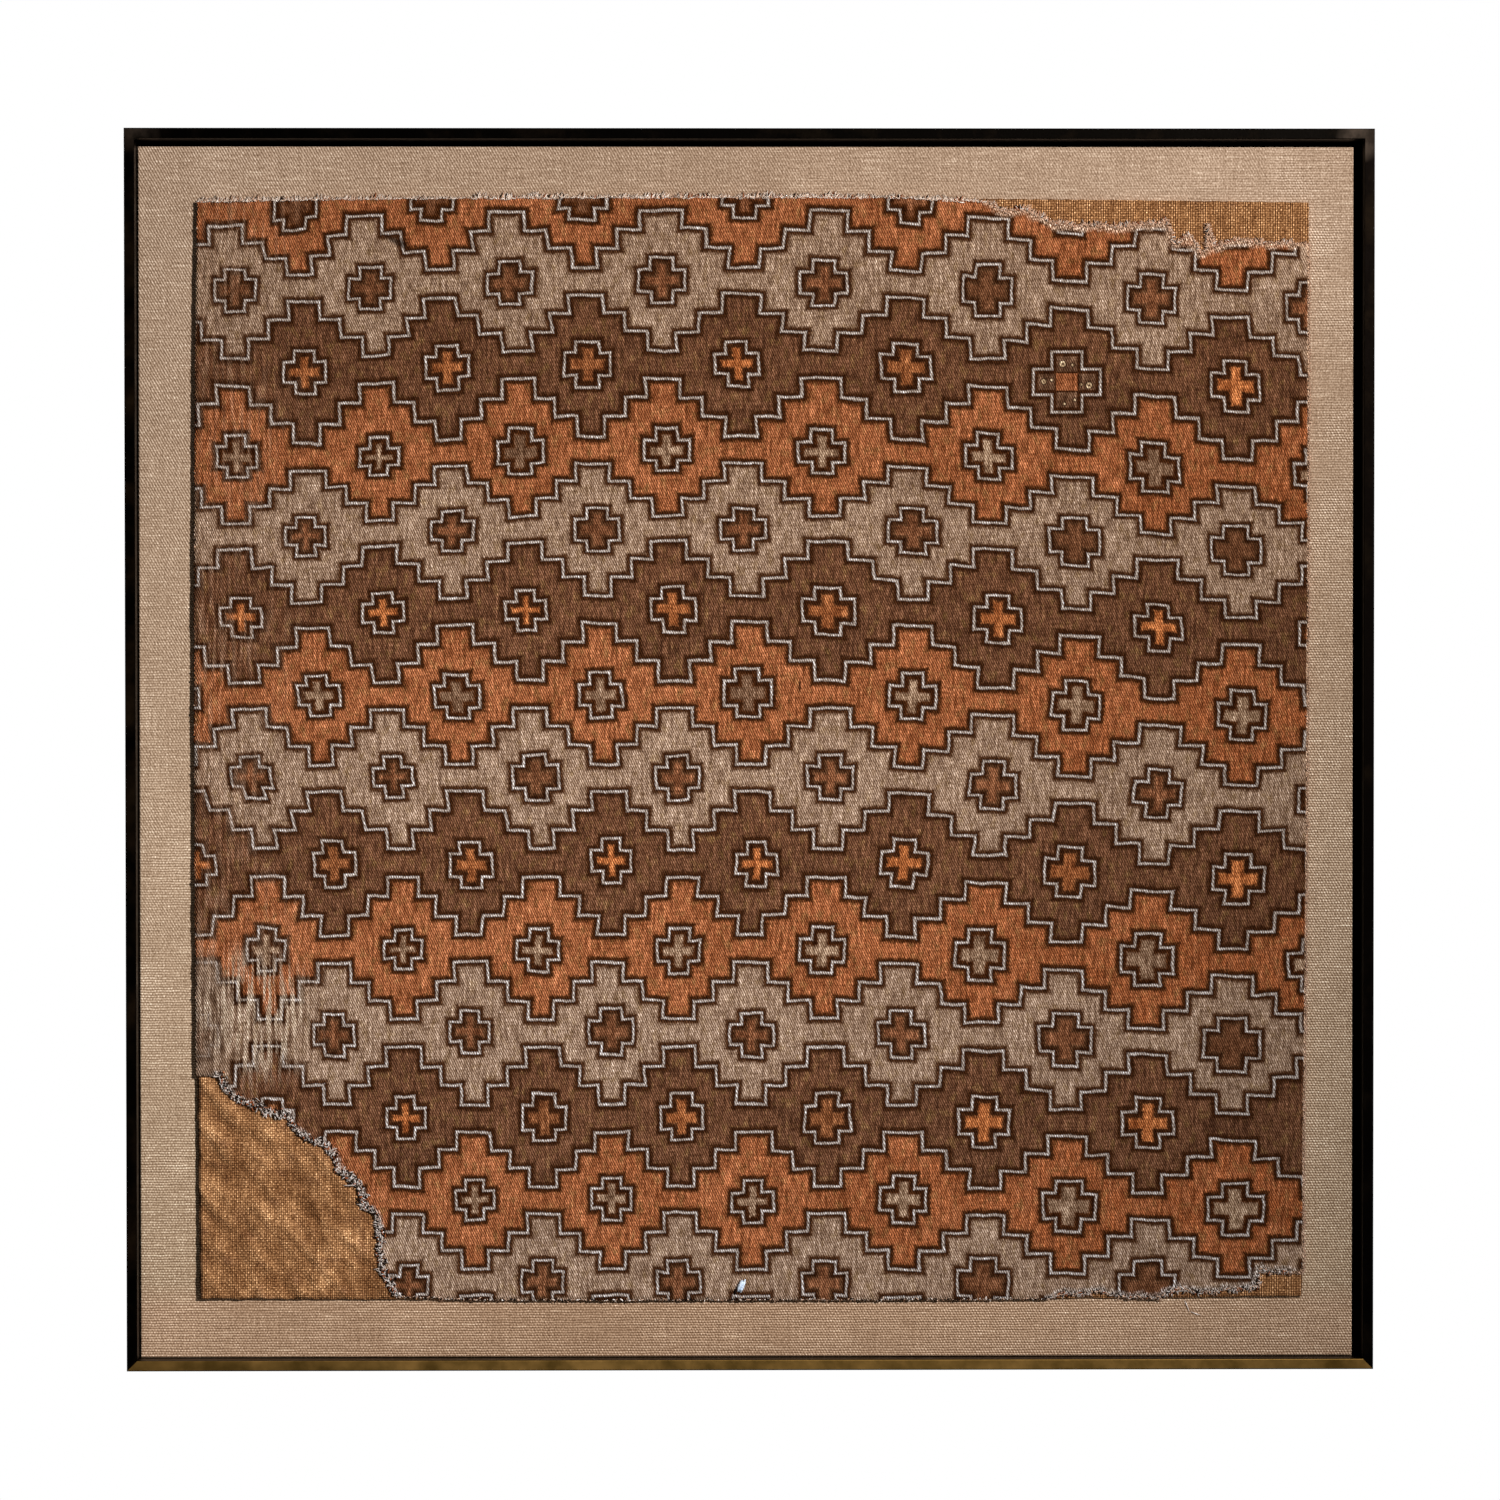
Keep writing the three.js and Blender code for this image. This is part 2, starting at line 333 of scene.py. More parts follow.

# %% [markdown]
# ## Patinated brass
#
# Brass that was darkened with a chemical patina is nearly black, and brown where the patina is
# thin. The face of the bottom bar is brown brass: partly rubbed back, partly a painted reflection
# of the pale floor, and made lighter towards its left as painted light. It is scuffed grey-brown
# near the upper corners. The patches are noise at the size of a fingertip.
# The inner sides of the left and bottom bars are painted nearly black, the left bar's inner
# arris with them: painted shade that hides the lamp's glint there.

# %% Patina
PATCH = 28 * MM
SCRATCH = 1.2 * MM
SCUFF_REACH = 15 * MM
THIN_EDGE = 0.12
RUBBED_REFLECTING_EDGE = 0.4
INNER_EDGE = (0.25, 0.1)
RUBBED_AND_REFLECTING = ("#725728", "#93713c")
SCUFFED = "#5c5046"
INNER_PAINTED_SHADE = "#030202"


def patinated_brass(name, dark, brown, share, scuffed=(), rubbed_reflecting_above=None, inner_side=None):
    """Darkened brass: brown where the skin is thin, bare with a painted floor reflection above a
    height, and painted shade inside.
    """
    material, tree, shader = new_material(name, Metallic=1.0)
    place = add(tree, "TexCoord").outputs["Object"]
    split = add(tree, "SeparateXYZ", place)
    cloudy = add(tree, "TexNoise", place, Scale=1 / PATCH, Detail=5.0, Roughness=0.6)
    fine = add(tree, "TexNoise", place, Scale=1 / SCRATCH, Detail=2.0)
    skin_ends = (1 - share - THIN_EDGE, 1 - share + THIN_EDGE)
    thin = add(tree, "MapRange", cloudy, *skin_ends, 0.0, 1.0)
    skin = add(tree, "MixRGB", thin, dark, brown)
    speck = add(tree, "MapRange", fine, 0.3, 0.7, 0.85, 1.15)
    colour = add(tree, "MixRGB MULTIPLY", 1.0, skin, speck)
    for corner in scuffed:
        away = add(tree, "VectorMath DISTANCE", place, corner)
        near = add(tree, "MapRange", away, 0.2 * SCUFF_REACH, SCUFF_REACH, 0.5, 0.0)
        worn = add(tree, "MapRange", cloudy, 0.40, 0.62, 0.15, 1.0)
        colour = add(tree, "MixRGB", add(tree, "Math MULTIPLY", near, worn), colour, SCUFFED)
    # Bare brass on the bottom bar: partly rubbed wear, partly a painted reflection of the floor,
    # made lighter towards the left as painted light
    if rubbed_reflecting_above is not None:
        painted_light_to_left = add(tree, "MapRange", split.outputs["X"], 0.1, -0.25, 1.0, 1.3)
        bare = add(tree, "MixRGB MULTIPLY", 1.0, add(tree, "MixRGB", thin, *RUBBED_AND_REFLECTING), painted_light_to_left)
        ends = (rubbed_reflecting_above, rubbed_reflecting_above + RUBBED_REFLECTING_EDGE * MM)
        colour = cover(tree, colour, split.outputs["Z"], *ends, 1.0, bare)
    # Painted shade on an inner side: nearly black from just before its arris inwards
    if inner_side is not None:
        axis, where = inner_side
        ends = [where - edge * MM for edge in INNER_EDGE]
        colour = cover(tree, colour, split.outputs[axis], *ends, 0.9, INNER_PAINTED_SHADE)
    rough = add(tree, "MapRange", cloudy, 0.3, 0.7, 0.38, 0.55)
    tree.links.new(rough.outputs[0], shader.inputs["Roughness"])
    surface(tree, shader, colour, fine, depth=0.1, strength=0.25)
    return material


# The places, in metres: two worn corners, the foot of the bottom bar's face, and the two inner
# sides that get painted shade
ARRIS_SHADE = 0.35
front = -BAR_DEPTH * MM
corner_left = (-0.367, front, 0.369 + CENTRE_HEIGHT * MM)
corner_right = (0.366, front, 0.367 + CENTRE_HEIGHT * MM)
rubbed_reflecting_height = (CENTRE_HEIGHT - FRAME_H / 2 + 0.4) * MM
inner_foot = ("Z", (CENTRE_HEIGHT - FRAME_H / 2 + FACE) * MM)
inner_left = ("X", (FACE - FRAME_W / 2 - ARRIS_SHADE) * MM)
FINISHES = {
    "frame_top": ("top", "#060504", "#140f0a", 0.35, (corner_left, corner_right)),
    "frame_right": ("right", "#070504", "#17110b", 0.35, (corner_right,)),
    "frame_left": ("left", "#080604", "#21180f", 0.45, (corner_left,), None, inner_left),
    # The bottom bar: rubbed brass with a painted floor reflection on its face, painted shade inside
    "frame_bottom": ("rubbed", "#0a0705", "#21180f", 0.5, (), rubbed_reflecting_height, inner_foot),
}
for node_name, (finish_name, *values) in FINISHES.items():
    finish = patinated_brass("patinated brass, " + finish_name, *values)
    bars[node_name].data.materials.append(finish)
print("bars finished:", len(FINISHES))

# %% [markdown]
# ## The backing board
#
# The board inside the linen is plain birch plywood and shows only at the back, between the hems.
# Its mesh stays as the CAD gives it. The grain is noise that is stretched along the sheet, as
# rotary-cut veneer shows it: long soft flames about 12 mm wide.

# %% Birch plywood
FLAME = 12 * MM
PORE = 1.5 * MM
board_finish, tree, shader = new_material("birch plywood", Roughness=0.65)
place = add(tree, "TexCoord").outputs["Object"]
along = add(tree, "Mapping", place, Scale=(1, 1, 0.08))
flames = add(tree, "TexNoise", along, Scale=1 / FLAME, Detail=4.0, Distortion=1.5)
pores = add(tree, "TexNoise", along, Scale=1 / PORE, Detail=2.0)
wood = add(tree, "MixRGB", flames, "#c8a873", "#e2cb9d")
pored = add(tree, "MapRange", pores, 0.35, 0.65, 0.88, 1.06)
surface(tree, shader, add(tree, "MixRGB MULTIPLY", 1.0, wood, pored))
nodes["backing_board"].data.materials.clear()
nodes["backing_board"].data.materials.append(board_finish)
print("board finished")

# %% [markdown]
# ## The linen cover
#
# The cover is one cloth: its flat face turns over the board's edges, runs down the four sides and
# turns in again as a hem at the back, with mitred corners. It could be a box with a fabric look,
# but a real cloth has rounded folds and a thickness, so here the face is a grid, rings of points
# carry it round the edges, and a Solidify modifier gives it the thickness of the linen. Each
# point also has its place on the unfolded cloth, so that the weave runs on over the folds.

# %% The folded linen
LINEN_THICK = 1.2
LINEN_CELLS = 130
LINEN_WAVE = 0.12
FOLD_RADIUS = 1.3
HEM_WIDTH = 45
FOLD_STEPS = 5
SIDE_STEPS = 4
HEM_STEPS = 10

panel_centre = ((PANEL_LEFT + PANEL_RIGHT) / 2, (PANEL_TOP + PANEL_BOTTOM) / 2)
panel_half = ((PANEL_RIGHT - PANEL_LEFT) / 2, (PANEL_TOP - PANEL_BOTTOM) / 2)

# The path of the cloth round an edge: how far out from the panel's edge, and how deep
r = FOLD_RADIUS
quarter = np.linspace(0, math.pi / 2, FOLD_STEPS + 1)
side_top = LINEN_FACE - r
side_foot = HEM_BACK + r
path = [(r * math.sin(a) - r, side_top + r * math.cos(a)) for a in quarter]
path += [(0.0, side_top + (side_foot - side_top) * k / SIDE_STEPS) for k in range(1, SIDE_STEPS)]
path += [(r * math.cos(a) - r, side_foot - r * math.sin(a)) for a in quarter]
path += [(-r - (HEM_WIDTH - r) * k / HEM_STEPS, HEM_BACK) for k in range(1, HEM_STEPS + 1)]
cloth_run = np.concatenate([[0], np.cumsum(np.hypot(*np.diff(path, axis=0).T))])


def quads(a, b, c, d):
    """Four-sided faces from four grids of point numbers, one for each corner."""
    return np.stack([a, b, c, d], axis=-1).reshape(-1, 4)


# The face: a grid that stops where the fold begins
n = LINEN_CELLS
square = np.linspace(-1, 1, n + 1)
u, v = np.meshgrid(square, square, indexing="ij")
face_half = (panel_half[0] - r, panel_half[1] - r)
face_x = panel_centre[0] + u * face_half[0]
face_z = panel_centre[1] + v * face_half[1]
face_depth = LINEN_FACE - LINEN_WAVE * (1 + np.sin(face_x / 31 + 1.3) * np.sin(face_z / 43)) / 2
points = [in_frame(face_x, face_depth, face_z).reshape(-1, 3)]
flat_places = [np.stack([face_x, face_z], axis=-1).reshape(-1, 2)]
grid = np.arange((n + 1) ** 2).reshape(n + 1, n + 1)
faces = [quads(grid[:-1, :-1], grid[1:, :-1], grid[1:, 1:], grid[:-1, 1:])]

# Each side: its row of points on the face, the shape of its rings, and the way it runs out
ones = np.ones(n + 1)
sides = [
    (grid[:, n], square, ones, (0, 1)),
    (grid[n, ::-1], ones, square[::-1], (1, 0)),
    (grid[::-1, 0], square[::-1], -ones, (0, -1)),
    (grid[0, :], -ones, square, (-1, 0)),
]
count = grid.size
for edge, su, sv, (way_x, way_z) in sides:
    strip = [edge]
    for (out, depth), run in zip(path[1:], cloth_run[1:]):
        x = panel_centre[0] + su * (panel_half[0] + out)
        z = panel_centre[1] + sv * (panel_half[1] + out)
        points.append(in_frame(x, depth, z))
        flat_x = way_x * (face_half[0] + run) + panel_centre[0] if way_x else x
        flat_z = way_z * (face_half[1] + run) + panel_centre[1] if way_z else z
        flat_places.append(np.stack(np.broadcast_arrays(flat_x, flat_z), axis=-1))
        strip.append(np.arange(count, count + n + 1))
        count += n + 1
    strip = np.array(strip)
    faces.append(quads(strip[:-1, :-1], strip[:-1, 1:], strip[1:, 1:], strip[1:, :-1]))

faces = np.concatenate(faces)
weave_map = np.concatenate(flat_places)[faces.ravel()]
linen = make_piece(
    "linen_cover_cloth", np.concatenate(points), faces.tolist(), {"weave": weave_map}
)
weld = linen.modifiers.new("corner seams", "WELD")
weld.merge_threshold = 0.02 * MM
thicken = linen.modifiers.new("linen thickness", "SOLIDIFY")
thicken.thickness = LINEN_THICK * MM
thicken.offset = -1
print("linen:", len(faces), "faces")

# %% [markdown]
# ## Plain weave
#
# In a plain weave each thread passes over one and under the next. Seen from the front that is a
# checkerboard of small domes, with a ridge along every thread. Two sines, one across the warp
# and one along it, give all of it: their product is the checkerboard, and each one's square is
# a ridge for every thread. A noise bends the threads a little first, as a hand loom does.

# %% One helper for every cloth's weave
LOOM_WANDER = 7.0


def plain_weave(tree, place, across, up, checker, warp_ridge, weft_ridge, wander=0.5):
    """Relief of a plain weave, about -1 to 1, and the slanted twist of its yarns, -1 to 1."""
    bend = add(tree, "TexNoise", place, Scale=1 / LOOM_WANDER, Detail=3.0, Roughness=0.6)
    size = (2 * wander, 2 * wander, 0)
    middle = (-wander, -wander, 0)
    drift = add(tree, "VectorMath MULTIPLY_ADD", bend.outputs["Color"], size, middle)
    loom = add(tree, "VectorMath ADD", place, drift)
    turns = add(tree, "VectorMath MULTIPLY", loom, (math.pi / across, math.pi / up, 0))
    split = add(tree, "SeparateXYZ", turns)
    warp = add(tree, "Math SINE", split.outputs["X"])
    weft = add(tree, "Math SINE", split.outputs["Y"])
    domes = add(tree, "Math MULTIPLY", warp, weft)
    relief = add(tree, "Math MULTIPLY_ADD", domes, checker, -(warp_ridge + weft_ridge) / 2)
    for thread, ridge in ((warp, warp_ridge), (weft, weft_ridge)):
        squared = add(tree, "Math MULTIPLY", thread, thread)
        relief = add(tree, "Math MULTIPLY_ADD", squared, ridge, relief)
    both = add(tree, "Math ADD", split.outputs["X"], split.outputs["Y"])
    return relief, add(tree, "Math SINE", both)


def thread_noise(tree, place, across, up, detail=2.0):
    """Noise drawn out along a thread: its size across and up in millimetres, around 0.5."""
    stretched = add(tree, "VectorMath MULTIPLY", place, (1 / across, 1 / up, 0))
    return add(tree, "TexNoise", stretched, Scale=1.0, Detail=detail, Roughness=0.6)


# Light that goes from thread to thread comes out redder: dark places lose blue first, red last
DEEPENING = (0.85, 1.0, 1.15)


def shade_by(tree, colour, parts, balance=(0.0, 0.0, 0.0)):
    """A colour made lighter or darker by a sum of parts: a value, its share and its middle."""
    total = 0.0
    for value, share, middle in parts:
        off_middle = add(tree, "Math SUBTRACT", value, middle)
        total = add(tree, "Math MULTIPLY_ADD", off_middle, share, total)
    powers = [add(tree, "Math MULTIPLY_ADD", total, *pair) for pair in zip(DEEPENING, balance)]
    tint = add(tree, "CombineColor", *[add(tree, "Math EXPONENT", power) for power in powers])
    return add(tree, "MixRGB MULTIPLY", 1.0, colour, tint)


# %% [markdown]
# ## Natural linen
#
# The cover is undyed linen in plain weave, from a hand loom: the threads swell and thin, and the
# thick places, the slubs, show as light dashes along the weft. The frequencies in the photograph
# give 0.88 mm from one warp thread to the next and 1.55 mm from one weft thread to the next. The
# colour carries painted light: a yellower and warmer tint lower down, painted shade in the middle
# of the top and foot, a painted lift on the low parts of the sides, and the weave's relief as
# painted shade that shows more towards the foot.

# %% Linen finish
LINEN_ACROSS = 0.88
LINEN_UP = 1.55
LINEN_RELIEF = 0.12
FLAX = ("#b49a83", "#cdb79f")
HALF_CLOTH = 380.0
FOOT = (-322.0, -336.0)
STRIP_INNER = 320.0
STRIP_OUTER = 340.0

linen_finish, tree, shader = new_material(
    "natural linen, plain weave", Roughness=0.95, Specular_IOR_Level=0.15
)
place, here_x, here_z = on_map(tree, "weave")
relief, twist = plain_weave(tree, place, LINEN_ACROSS, LINEN_UP, 0.35, 0.1, 1.2)
slub = thread_noise(tree, place, 22.0, 1.3)
ridge = thread_noise(tree, place, 1.1, 26.0)
fuzz = thread_noise(tree, place, 1.0, 1.5)
patch = thread_noise(tree, place, 60.0, 60.0)

# Colour: pale slubs, then a tint that is painted light: yellower lower down and warmer at the foot
flax = cover(tree, FLAX[0], slub, 0.60, 0.78, 0.8, FLAX[1])
lower = add(tree, "MapRange", here_z, HALF_CLOTH, -HALF_CLOTH, 0.0, 1.0)
painted_light_tint = add(tree, "MixRGB", lower, "#ffffff", "#f0ebdc")
painted_light_tint = cover(tree, painted_light_tint, here_z, *FOOT, 1.0, "#f6e9da")
flax = add(tree, "MixRGB MULTIPLY", 1.0, flax, painted_light_tint)

# Tone: painted shade in the middle of the top and foot, and painted light on the low parts of the
# two sides
off_middle = add(tree, "Math ABSOLUTE", add(tree, "Math ADD", here_x, 70.0))
painted_shade_middle = add(tree, "MapRange", off_middle, 30.0, STRIP_INNER, -0.15, 0.04)
from_centre = add(tree, "Math ABSOLUTE", here_x)
at_sides = add(tree, "MapRange", from_centre, STRIP_INNER, STRIP_OUTER, 0.0, 1.0)
brighter_low = add(tree, "MapRange", here_z, 60.0, -60.0, -0.02, 0.09)
painted_light_sides = add(tree, "Math MULTIPLY", at_sides, brighter_low)

# Weave: the relief and the slant of the yarns drawn into the colour as painted shade, stronger
# towards the foot and the right
to_foot = add(tree, "Math ADD", add(tree, "Math MULTIPLY_ADD", patch, 1.6, -0.8), lower)
right_side = add(tree, "MapRange", here_x, 250.0, STRIP_OUTER, 0.0, 0.4)
to_foot = add(tree, "Math ADD", to_foot, right_side)
relief_shade_strength = add(tree, "MapRange", to_foot, 0.2, 0.9, 0.12, 0.88)
slope = add(tree, "MapRange", here_x, -350.0, 200.0, 0.66, 0.36)
painted_slant_shade = add(tree, "Math MULTIPLY", twist, add(tree, "Math SUBTRACT", relief_shade_strength, slope))
colour = shade_by(tree, flax, [
    (painted_slant_shade, 1.0, 0.0),
    (add(tree, "Math MULTIPLY", relief, relief_shade_strength), 1.0, 0.0),
    (slub, 0.9, 0.5),
    (ridge, 0.8, 0.5),
    (fuzz, 2.6, 0.5),
    (patch, 0.25, 0.5),
    (painted_shade_middle, 1.0, 0.0),
    (painted_light_sides, 1.0, 0.0),
])
swollen = add(tree, "Math MULTIPLY_ADD", slub, 1.2, relief)
surface(tree, shader, colour, swollen, LINEN_RELIEF)
linen.data.materials.append(linen_finish)
print("linen nodes:", len(tree.nodes))

# %% [markdown]
# ## The outlines of the two cloths
#
# Both cloths were cut by hand and their edges are a little bowed. The painted cloth is torn at
# the lower left, at the upper right and at the lower right. The outlines repeat the CAD's, with
# finer fraying. Points run clockwise as seen from the front, in millimetres from the centre.

# %% Outlines
EDGE_LEFT = -331.5
EDGE_RIGHT = 336.2
EDGE_TOP = 329.5
EDGE_BOTTOM = -330.0
RIGHT_LEAN = 3.3
BOW = {"top": 2.6, "right": 1.4, "bottom": 1.2, "left": 2.6}
OVERHANG = 0.4
BOW_ROWS = 8

TEAR_UPPER_RIGHT = [
    (142, 329.5), (153, 324.5), (167, 326), (178, 318), (201, 316), (238, 315.5), (250, 319),
    (255, 305), (264, 310), (271, 300), (274.5, 302), (276, 316), (279, 303), (290, 306.5),
    (327, 304.5),
]
TEAR_LOWER_RIGHT = [
    (326, -316), (307, -314), (305.5, -324.5), (281, -327), (264, -328), (259, -324.5),
    (248, -330.6), (222, -331), (216, -328), (188, -327.6), (180, -331.2),
]
TEAR_LOWER_LEFT = [
    (-215, -329), (-224, -314), (-226, -281), (-234, -275), (-236, -264), (-249, -254),
    (-252, -243), (-273, -231), (-281, -221), (-293, -218), (-308, -211), (-318, -204),
    (-322, -196),
]


def bowed_edge(start, end, bow):
    """A cut edge as points, bowed out at its middle."""
    t = np.linspace(0, 1, BOW_ROWS + 1)[:, None]
    along = np.subtract(end, start)
    out = np.array([-along[1], along[0]]) / np.hypot(*along)
    return np.add(start, along * t + out * bow * 4 * t * (1 - t))


def cloth_edges(grow):
    """The four bowed edges, clockwise from the top left corner."""
    left, right = EDGE_LEFT - grow, EDGE_RIGHT + grow
    top, bottom = EDGE_TOP + grow, EDGE_BOTTOM - grow
    corners = [(left, top), (right, top), (right - RIGHT_LEAN, bottom), (left, bottom)]
    ends = zip(BOW.items(), corners, corners[1:] + corners[:1])
    return {side: bowed_edge(start, end, bow) for (side, bow), start, end in ends}


def run_length(line):
    """How far each point of a line is from its start, along the line."""
    return np.concatenate([[0], np.cumsum(np.hypot(*np.diff(line, axis=0).T))])


def slow_noise(rng, where, length, spacing, low, high):
    """Random values at an even spacing, with straight stretches between them."""
    knots = np.arange(0, length, spacing)
    return np.interp(where, knots, rng.uniform(low, high, len(knots)))


def frayed(points, step, depth, seed):
    """A line cut into short steps that stand in or out a little, as pulled threads do."""
    points = np.asarray(points, dtype=float)
    length = run_length(points)
    where = np.linspace(0, length[-1], max(2, int(length[-1] / step)))
    line = np.stack([np.interp(where, length, points[:, i]) for i in (0, 1)], axis=-1)
    along = np.gradient(line, axis=0)
    out = np.stack([-along[:, 1], along[:, 0]], axis=-1) / np.hypot(*along.T)[:, None]
    rng = np.random.default_rng(seed)
    coarse = slow_noise(rng, where, length[-1] + 6, 4.5, -1, 1)
    fine = rng.uniform(-1, 1, len(where))
    shift = depth * (0.6 * coarse + 0.4 * fine)
    shift[[0, -1]] = 0
    return line + out * shift[:, None]


CUT_FRAY = {"step": 1.6, "depth": 0.45}
TORN_FRAY = {"step": 1.1, "depth": 1.8}

whole = cloth_edges(0)
support_runs = {side: frayed(whole[side], seed=k, **CUT_FRAY) for k, side in enumerate(BOW)}
support_outline = np.concatenate([run[:-1] for run in support_runs.values()])

# The painted cloth: its cut edges end where the torn lines begin
reach = cloth_edges(OVERHANG)
top_run = [p for p in reach["top"] if p[0] < TEAR_UPPER_RIGHT[0][0]] + [TEAR_UPPER_RIGHT[0]]
right_start, right_end = TEAR_UPPER_RIGHT[-1], TEAR_LOWER_RIGHT[0]
right_run = [p for p in reach["right"] if right_end[1] < p[1] < right_start[1]]
right_run = [
    right_start, (right_run[0][0], right_start[1]), *right_run,
    (right_run[-1][0], right_end[1]), right_end,
]
bottom_start, bottom_end = TEAR_LOWER_RIGHT[-1], TEAR_LOWER_LEFT[0]
bottom_run = [p for p in reach["bottom"] if bottom_end[0] < p[0] < bottom_start[0]]
bottom_run = [bottom_start, *bottom_run, bottom_end]
left_start = TEAR_LOWER_LEFT[-1]
left_run = [p for p in reach["left"] if p[1] > left_start[1]]
left_run = [left_start, (left_run[0][0], left_start[1]), *left_run]

painted_runs = {
    "top": frayed(top_run, seed=11, **CUT_FRAY),
    "tear_upper_right": frayed(TEAR_UPPER_RIGHT, seed=12, **TORN_FRAY),
    "right": frayed(right_run, seed=13, **CUT_FRAY),
    "tear_lower_right": frayed(TEAR_LOWER_RIGHT, seed=14, **TORN_FRAY),
    "bottom": frayed(bottom_run, seed=15, **CUT_FRAY),
    "tear_lower_left": frayed(TEAR_LOWER_LEFT, seed=16, **TORN_FRAY),
    "left": frayed(left_run, seed=17, **CUT_FRAY),
}
painted_outline = np.concatenate([run[:-1] for run in painted_runs.values()])
print("outline points:", len(support_outline), "and", len(painted_outline))

# %% [markdown]
# ## The shapes of the two cloths
#
# A hand-sewn cloth doesn't lie dead flat: it swells by a few tenths of a millimetre between its
# stitches, and the lower left corner of the ochre cloth lifts off the linen by 2 mm. Each cloth
# is a closed thin shell. Its outline and a grid of inner points are joined into triangles, once
# for the front and once for the back, and a rim joins the two along the outline.

# %% How the cloths swell and lift
CORNER_LIFT = 2.0
CORNER_REACH = 130
UNEVEN = 0.3


def lift(x, z):
    away = np.hypot(x - EDGE_LEFT, z - EDGE_BOTTOM) / CORNER_REACH
    return CORNER_LIFT * np.maximum(0, 1 - away) ** 2


def swell(x, z):
    long_wave = np.sin(x / 47) * np.cos(z / 61)
    short_wave = np.sin(x / 19) * np.sin(z / 31)
    return UNEVEN * (1 + 0.6 * long_wave + 0.4 * short_wave)


def support_back(x, z):
    return SUPPORT_BACK + lift(x, z)


def support_front(x, z):
    return SUPPORT_BACK + SUPPORT_THICK + lift(x, z) + swell(x, z)


def painted_back(x, z):
    return support_front(x, z) + GAP


def painted_front(x, z):
    return painted_back(x, z) + PAINTED_THICK + 0.4 * swell(z, x)


# %% Cloth shells
GRID = 4.0


def inside(points, outline):
    """Which points lie inside the outline, by counting the edges that each one's row crosses."""
    hit = np.zeros(len(points), dtype=bool)
    for (ax, az), (bx, bz) in zip(outline, np.roll(outline, -1, axis=0)):
        spans = (az > points[:, 1]) != (bz > points[:, 1])
        if az != bz:
            hit ^= spans & (points[:, 0] < ax + (points[:, 1] - az) * (bx - ax) / (bz - az))
    return hit


def cloth_shell(name, outline, back, front, extra_maps):
    """A closed thin shell between two uneven faces. extra_maps turn x and z into map values."""
    low = outline.min(axis=0)
    high = outline.max(axis=0)
    gx, gz = np.meshgrid(np.arange(low[0], high[0], GRID), np.arange(low[1], high[1], GRID))
    grid = np.stack([gx.ravel(), gz.ravel()], axis=-1)
    grid = grid[inside(grid, outline)]
    flat_points = [mathutils.Vector(p) for p in np.concatenate([outline, grid])]
    rim_points = list(range(len(outline)))
    joined = mathutils.geometry.delaunay_2d_cdt(flat_points, [], [rim_points], 1, 1e-5)
    flat = np.array([tuple(p) for p in joined[0]])
    triangles = np.array(joined[2])
    p, q, r = (flat[triangles[:, i]] for i in range(3))
    doubled = (q[:, 0] - p[:, 0]) * (r[:, 1] - p[:, 1]) - (q[:, 1] - p[:, 1]) * (r[:, 0] - p[:, 0])
    turned = doubled < 0
    triangles[turned] = triangles[turned][:, ::-1]
    used, triangles = np.unique(triangles, return_inverse=True)
    triangles = triangles.reshape(-1, 3)
    flat = flat[used]
    half = len(flat)
    x, z = flat.T
    shell = np.concatenate([in_frame(x, front(x, z), z), in_frame(x, back(x, z), z)])
    edges = dict.fromkeys((t[k], t[(k + 1) % 3]) for t in triangles.tolist() for k in range(3))
    rim = [(b, a, a + half, b + half) for a, b in edges if (b, a) not in edges]
    faces = triangles.tolist() + (triangles[:, ::-1] + half).tolist() + rim
    corners = np.concatenate([np.asarray(face) for face in faces]) % half
    maps = {"weave": flat[corners]}
    for map_name, values in extra_maps.items():
        maps[map_name] = values(x, z)[corners]
    area = float(np.abs(doubled).sum() / 2) * MM * MM
    return make_piece(name, shell, faces, maps), area


def run_distance(x, z, runs):
    """How far points are from the nearest of some runs of an outline, in millimetres."""
    nearest = np.full(len(x), 1e9)
    for run in runs:
        for (ax, az), (bx, bz) in zip(run[:-1], run[1:]):
            dx, dz = bx - ax, bz - az
            t = np.clip(((x - ax) * dx + (z - az) * dz) / (dx * dx + dz * dz), 0, 1)
            nearest = np.minimum(nearest, np.hypot(x - ax - t * dx, z - az - t * dz))
    return nearest


def support_edge_map(x, z):
    left = run_distance(x, z, [support_runs["left"]])
    return np.stack([left, left], axis=-1)


support, support_area = cloth_shell(
    "ochre_support_cloth", support_outline, support_back, support_front,
    {"edges": support_edge_map},
)
print("support cloth:", len(support.data.polygons), "faces,", round(support_area, 4), "m2")

# %% [markdown]
# ## The painter's lattice
#
# The pattern is a common one: rows of stepped diamonds, offset by half a diamond from row to row,
# in three repeating colours, with a small cross in each. It was drawn freehand, so the diamonds
# grow wider towards the right and the rows sink a little. Two counts place everything: which
# diamond, from left to right, and which row, from the top. Both change smoothly over the cloth,
# and both are stored in a map at every point, so the shader only has to draw one regular lattice.
# A few short lists of shifts, in millimetres and judged one by one, follow the painter's drift.

# %% Where the painter's rows and diamonds fall
DIAMOND_LEFT = 85.8
DIAMOND_RIGHT = 99.6
ROW = 50.1
FIRST_DIAMOND = -308.1
FIRST_ROW = 282.7

